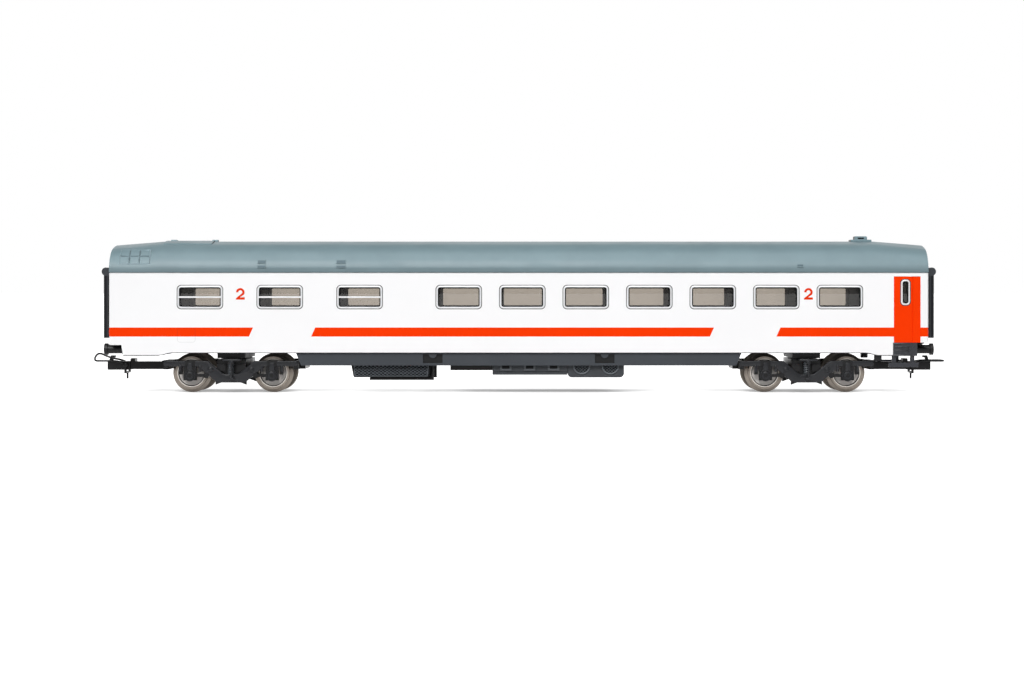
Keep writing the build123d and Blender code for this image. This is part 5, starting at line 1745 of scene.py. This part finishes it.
@dataclass
class Studio:
    """White floor and sky, a soft key lamp, one overhead that only gives highlights, and the camera."""

    camera_place: Triple = (5.5, -704.3, 34.1)
    lens: float = 71.8
    shift: Pair = (-0.0225, -0.0483)
    clip_start: float = 0.01
    floor_half: float = 40.0
    floor_colour: Triple = (0.82, 0.82, 0.82)
    floor_shade: float = 0.3
    contact: float = 16.0
    contact_range: Pair = (0.2, 0.8)
    sky: Triple = (1.0, 1.0, 1.0)
    ambient: float = 0.48
    zenith: float = 0.4
    zenith_range: Pair = (0.6, 0.1)
    front: float = 0.3
    above_range: Pair = (0.9, 0.45)
    behind_range: Pair = (-0.1, 0.4)
    lamps: tuple[Lamp, ...] = (Lamp("key_lamp", 2.32, 35.0, -8.0, 28.0, True),
                               Lamp("top_lamp", 1.2, 68.0, 0.0, 40.0, False))

    def build_world(self) -> None:
        """Light the set from all round, with a white backdrop and a darker room in front and above."""
        world = bpy.data.worlds.new("white_studio")
        bpy.context.scene.world = world
        world.use_nodes = True
        nodes = Nodes(world.node_tree)
        way = nodes.split(nodes.coordinates("Generated"))
        level = nodes.ramp(way[2], *self.above_range)
        behind = nodes.ramp(way[1], *self.behind_range)
        backdrop = nodes.ramp(nodes.math("MULTIPLY", level, behind), 0.0, 1.0, self.front, 1.0)
        low = nodes.ramp(way[2], *self.zenith_range)
        soft = nodes.ramp(low, 0.0, 1.0, self.ambient * self.zenith, self.ambient)
        path = nodes.add("ShaderNodeLightPath").outputs
        plain = nodes.math("MAXIMUM", path["Is Camera Ray"], path["Is Transmission Ray"])
        mirrored = nodes.ramp(path["Is Glossy Ray"], 0.0, 1.0, soft, backdrop)
        back = world.node_tree.nodes["Background"]
        nodes.feed(back.inputs["Color"], self.sky)
        nodes.feed(back.inputs["Strength"], nodes.ramp(plain, 0.0, 1.0, mirrored, 1.0))

    def build_floor(self) -> None:
        """Lay a white floor that keeps the coach's shadow, darkest where the coach is close."""
        floor = add_primitive(bpy.ops.mesh.primitive_plane_add, "studio_floor", size=2 * self.floor_half)
        material = bpy.data.materials.new("white_floor")
        material.use_nodes = True
        material.node_tree.nodes.clear()
        nodes = Nodes(material.node_tree)
        path = nodes.add("ShaderNodeLightPath").outputs
        mirrored = nodes.math("MAXIMUM", path["Is Glossy Ray"], path["Is Transmission Ray"])
        seen = nodes.math("MAXIMUM", path["Is Camera Ray"], mirrored)
        openness = nodes.add("ShaderNodeAmbientOcclusion", {"Distance": self.contact * MM}, samples=8)
        bright = nodes.ramp(openness.outputs["AO"], *self.contact_range, self.floor_shade, 1.0)
        glow = nodes.add("ShaderNodeEmission", {"Strength": nodes.math("MULTIPLY", seen, bright)}).outputs[0]
        matt = nodes.add("ShaderNodeBsdfDiffuse", {"Color": self.floor_colour}).outputs[0]
        both = nodes.add("ShaderNodeAddShader", {0: matt, 1: glow}).outputs[0]
        through = nodes.add("ShaderNodeMixShader", {0: path["Is Transmission Ray"], 1: both, 2: glow})
        nodes.add("ShaderNodeOutputMaterial", {"Surface": through.outputs[0]})
        floor.data.materials.append(material)

    def build_camera(self) -> None:
        """Set the camera level, in front of the coach's near side."""
        camera = bpy.data.cameras.new("studio_camera")
        camera.lens = self.lens
        camera.shift_x, camera.shift_y = self.shift
        camera.clip_start = self.clip_start
        holder = bpy.data.objects.new("studio_camera", camera)
        holder.location = metres(self.camera_place)
        holder.rotation_euler = (math.pi / 2, 0.0, 0.0)
        bpy.context.collection.objects.link(holder)
        bpy.context.scene.camera = holder

    def build(self) -> None:
        """Set up the whole studio."""
        self.build_world()
        self.build_floor()
        for lamp in self.lamps:
            lamp.hang()
        self.build_camera()
        bpy.context.scene.view_settings.view_transform = "Standard"


def dress_solids(paint: Paints) -> None:
    """Put the finishes on the solids as they are loaded.

    Args:
        paint: The materials by name.
    """
    ends = [end.label for end in End]
    sides = [side.label for side in Side]
    axles = range(1, 5)
    gear = ("bogie_frame", "bogie_springs", "coupler_head", "coupler_loop", "buffers")
    covers = {
        "livery": ["body_shell"],
        "roof": ["roof", "roof_ventilator"],
        "frame": [f"window_frames_{side}" for side in sides],
        "glass": [f"glazing_{side}" for side in sides],
        "skirt": ["underframe"],
        "gloss": [f"door_steps_{side}" for side in sides],
        # Painted shade: the battery box behind its lattice takes the dark opening colour.
        "void": ["battery_box"],
        "boxes": ["equipment_box", "fan_box"],
        "gear": ["air_pipe", "valve_plate", *(f"{kind}_{end}" for end in ends for kind in gear)],
        "rubber": [f"gangway_{end}" for end in ends],
        "wheel": [f"wheels_{i}" for i in axles],
        "steel": ["ballast_weight", *(f"axle_{i}" for i in axles), *(f"pivot_pin_{end}" for end in ends)],
    }
    for key, names in covers.items():
        for name in names:
            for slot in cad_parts[name].material_slots:
                slot.material = paint[key]
            LOG.info("%s: %s", name, paint[key].name)


def main() -> None:
    """Dress the coach, piece by piece, and set up the studio."""
    logging.basicConfig(level=logging.INFO, format="%(name)s %(message)s")
    groups = SharedGroups()
    paint = {key: finish.build(groups) for key, finish in FINISHES.items()}
    dress_solids(paint)
    for kind in (WindowTrim, CoilSprings, BogieTrim, CouplerLoops, UnderfloorTrim, StepTrim, RoofTrim,
                 EndTrim, ClassNumerals):
        kind(paint).build()
        LOG.info("built %s", kind.__name__)
    Studio().build()


if __name__ == "__main__":
    main()
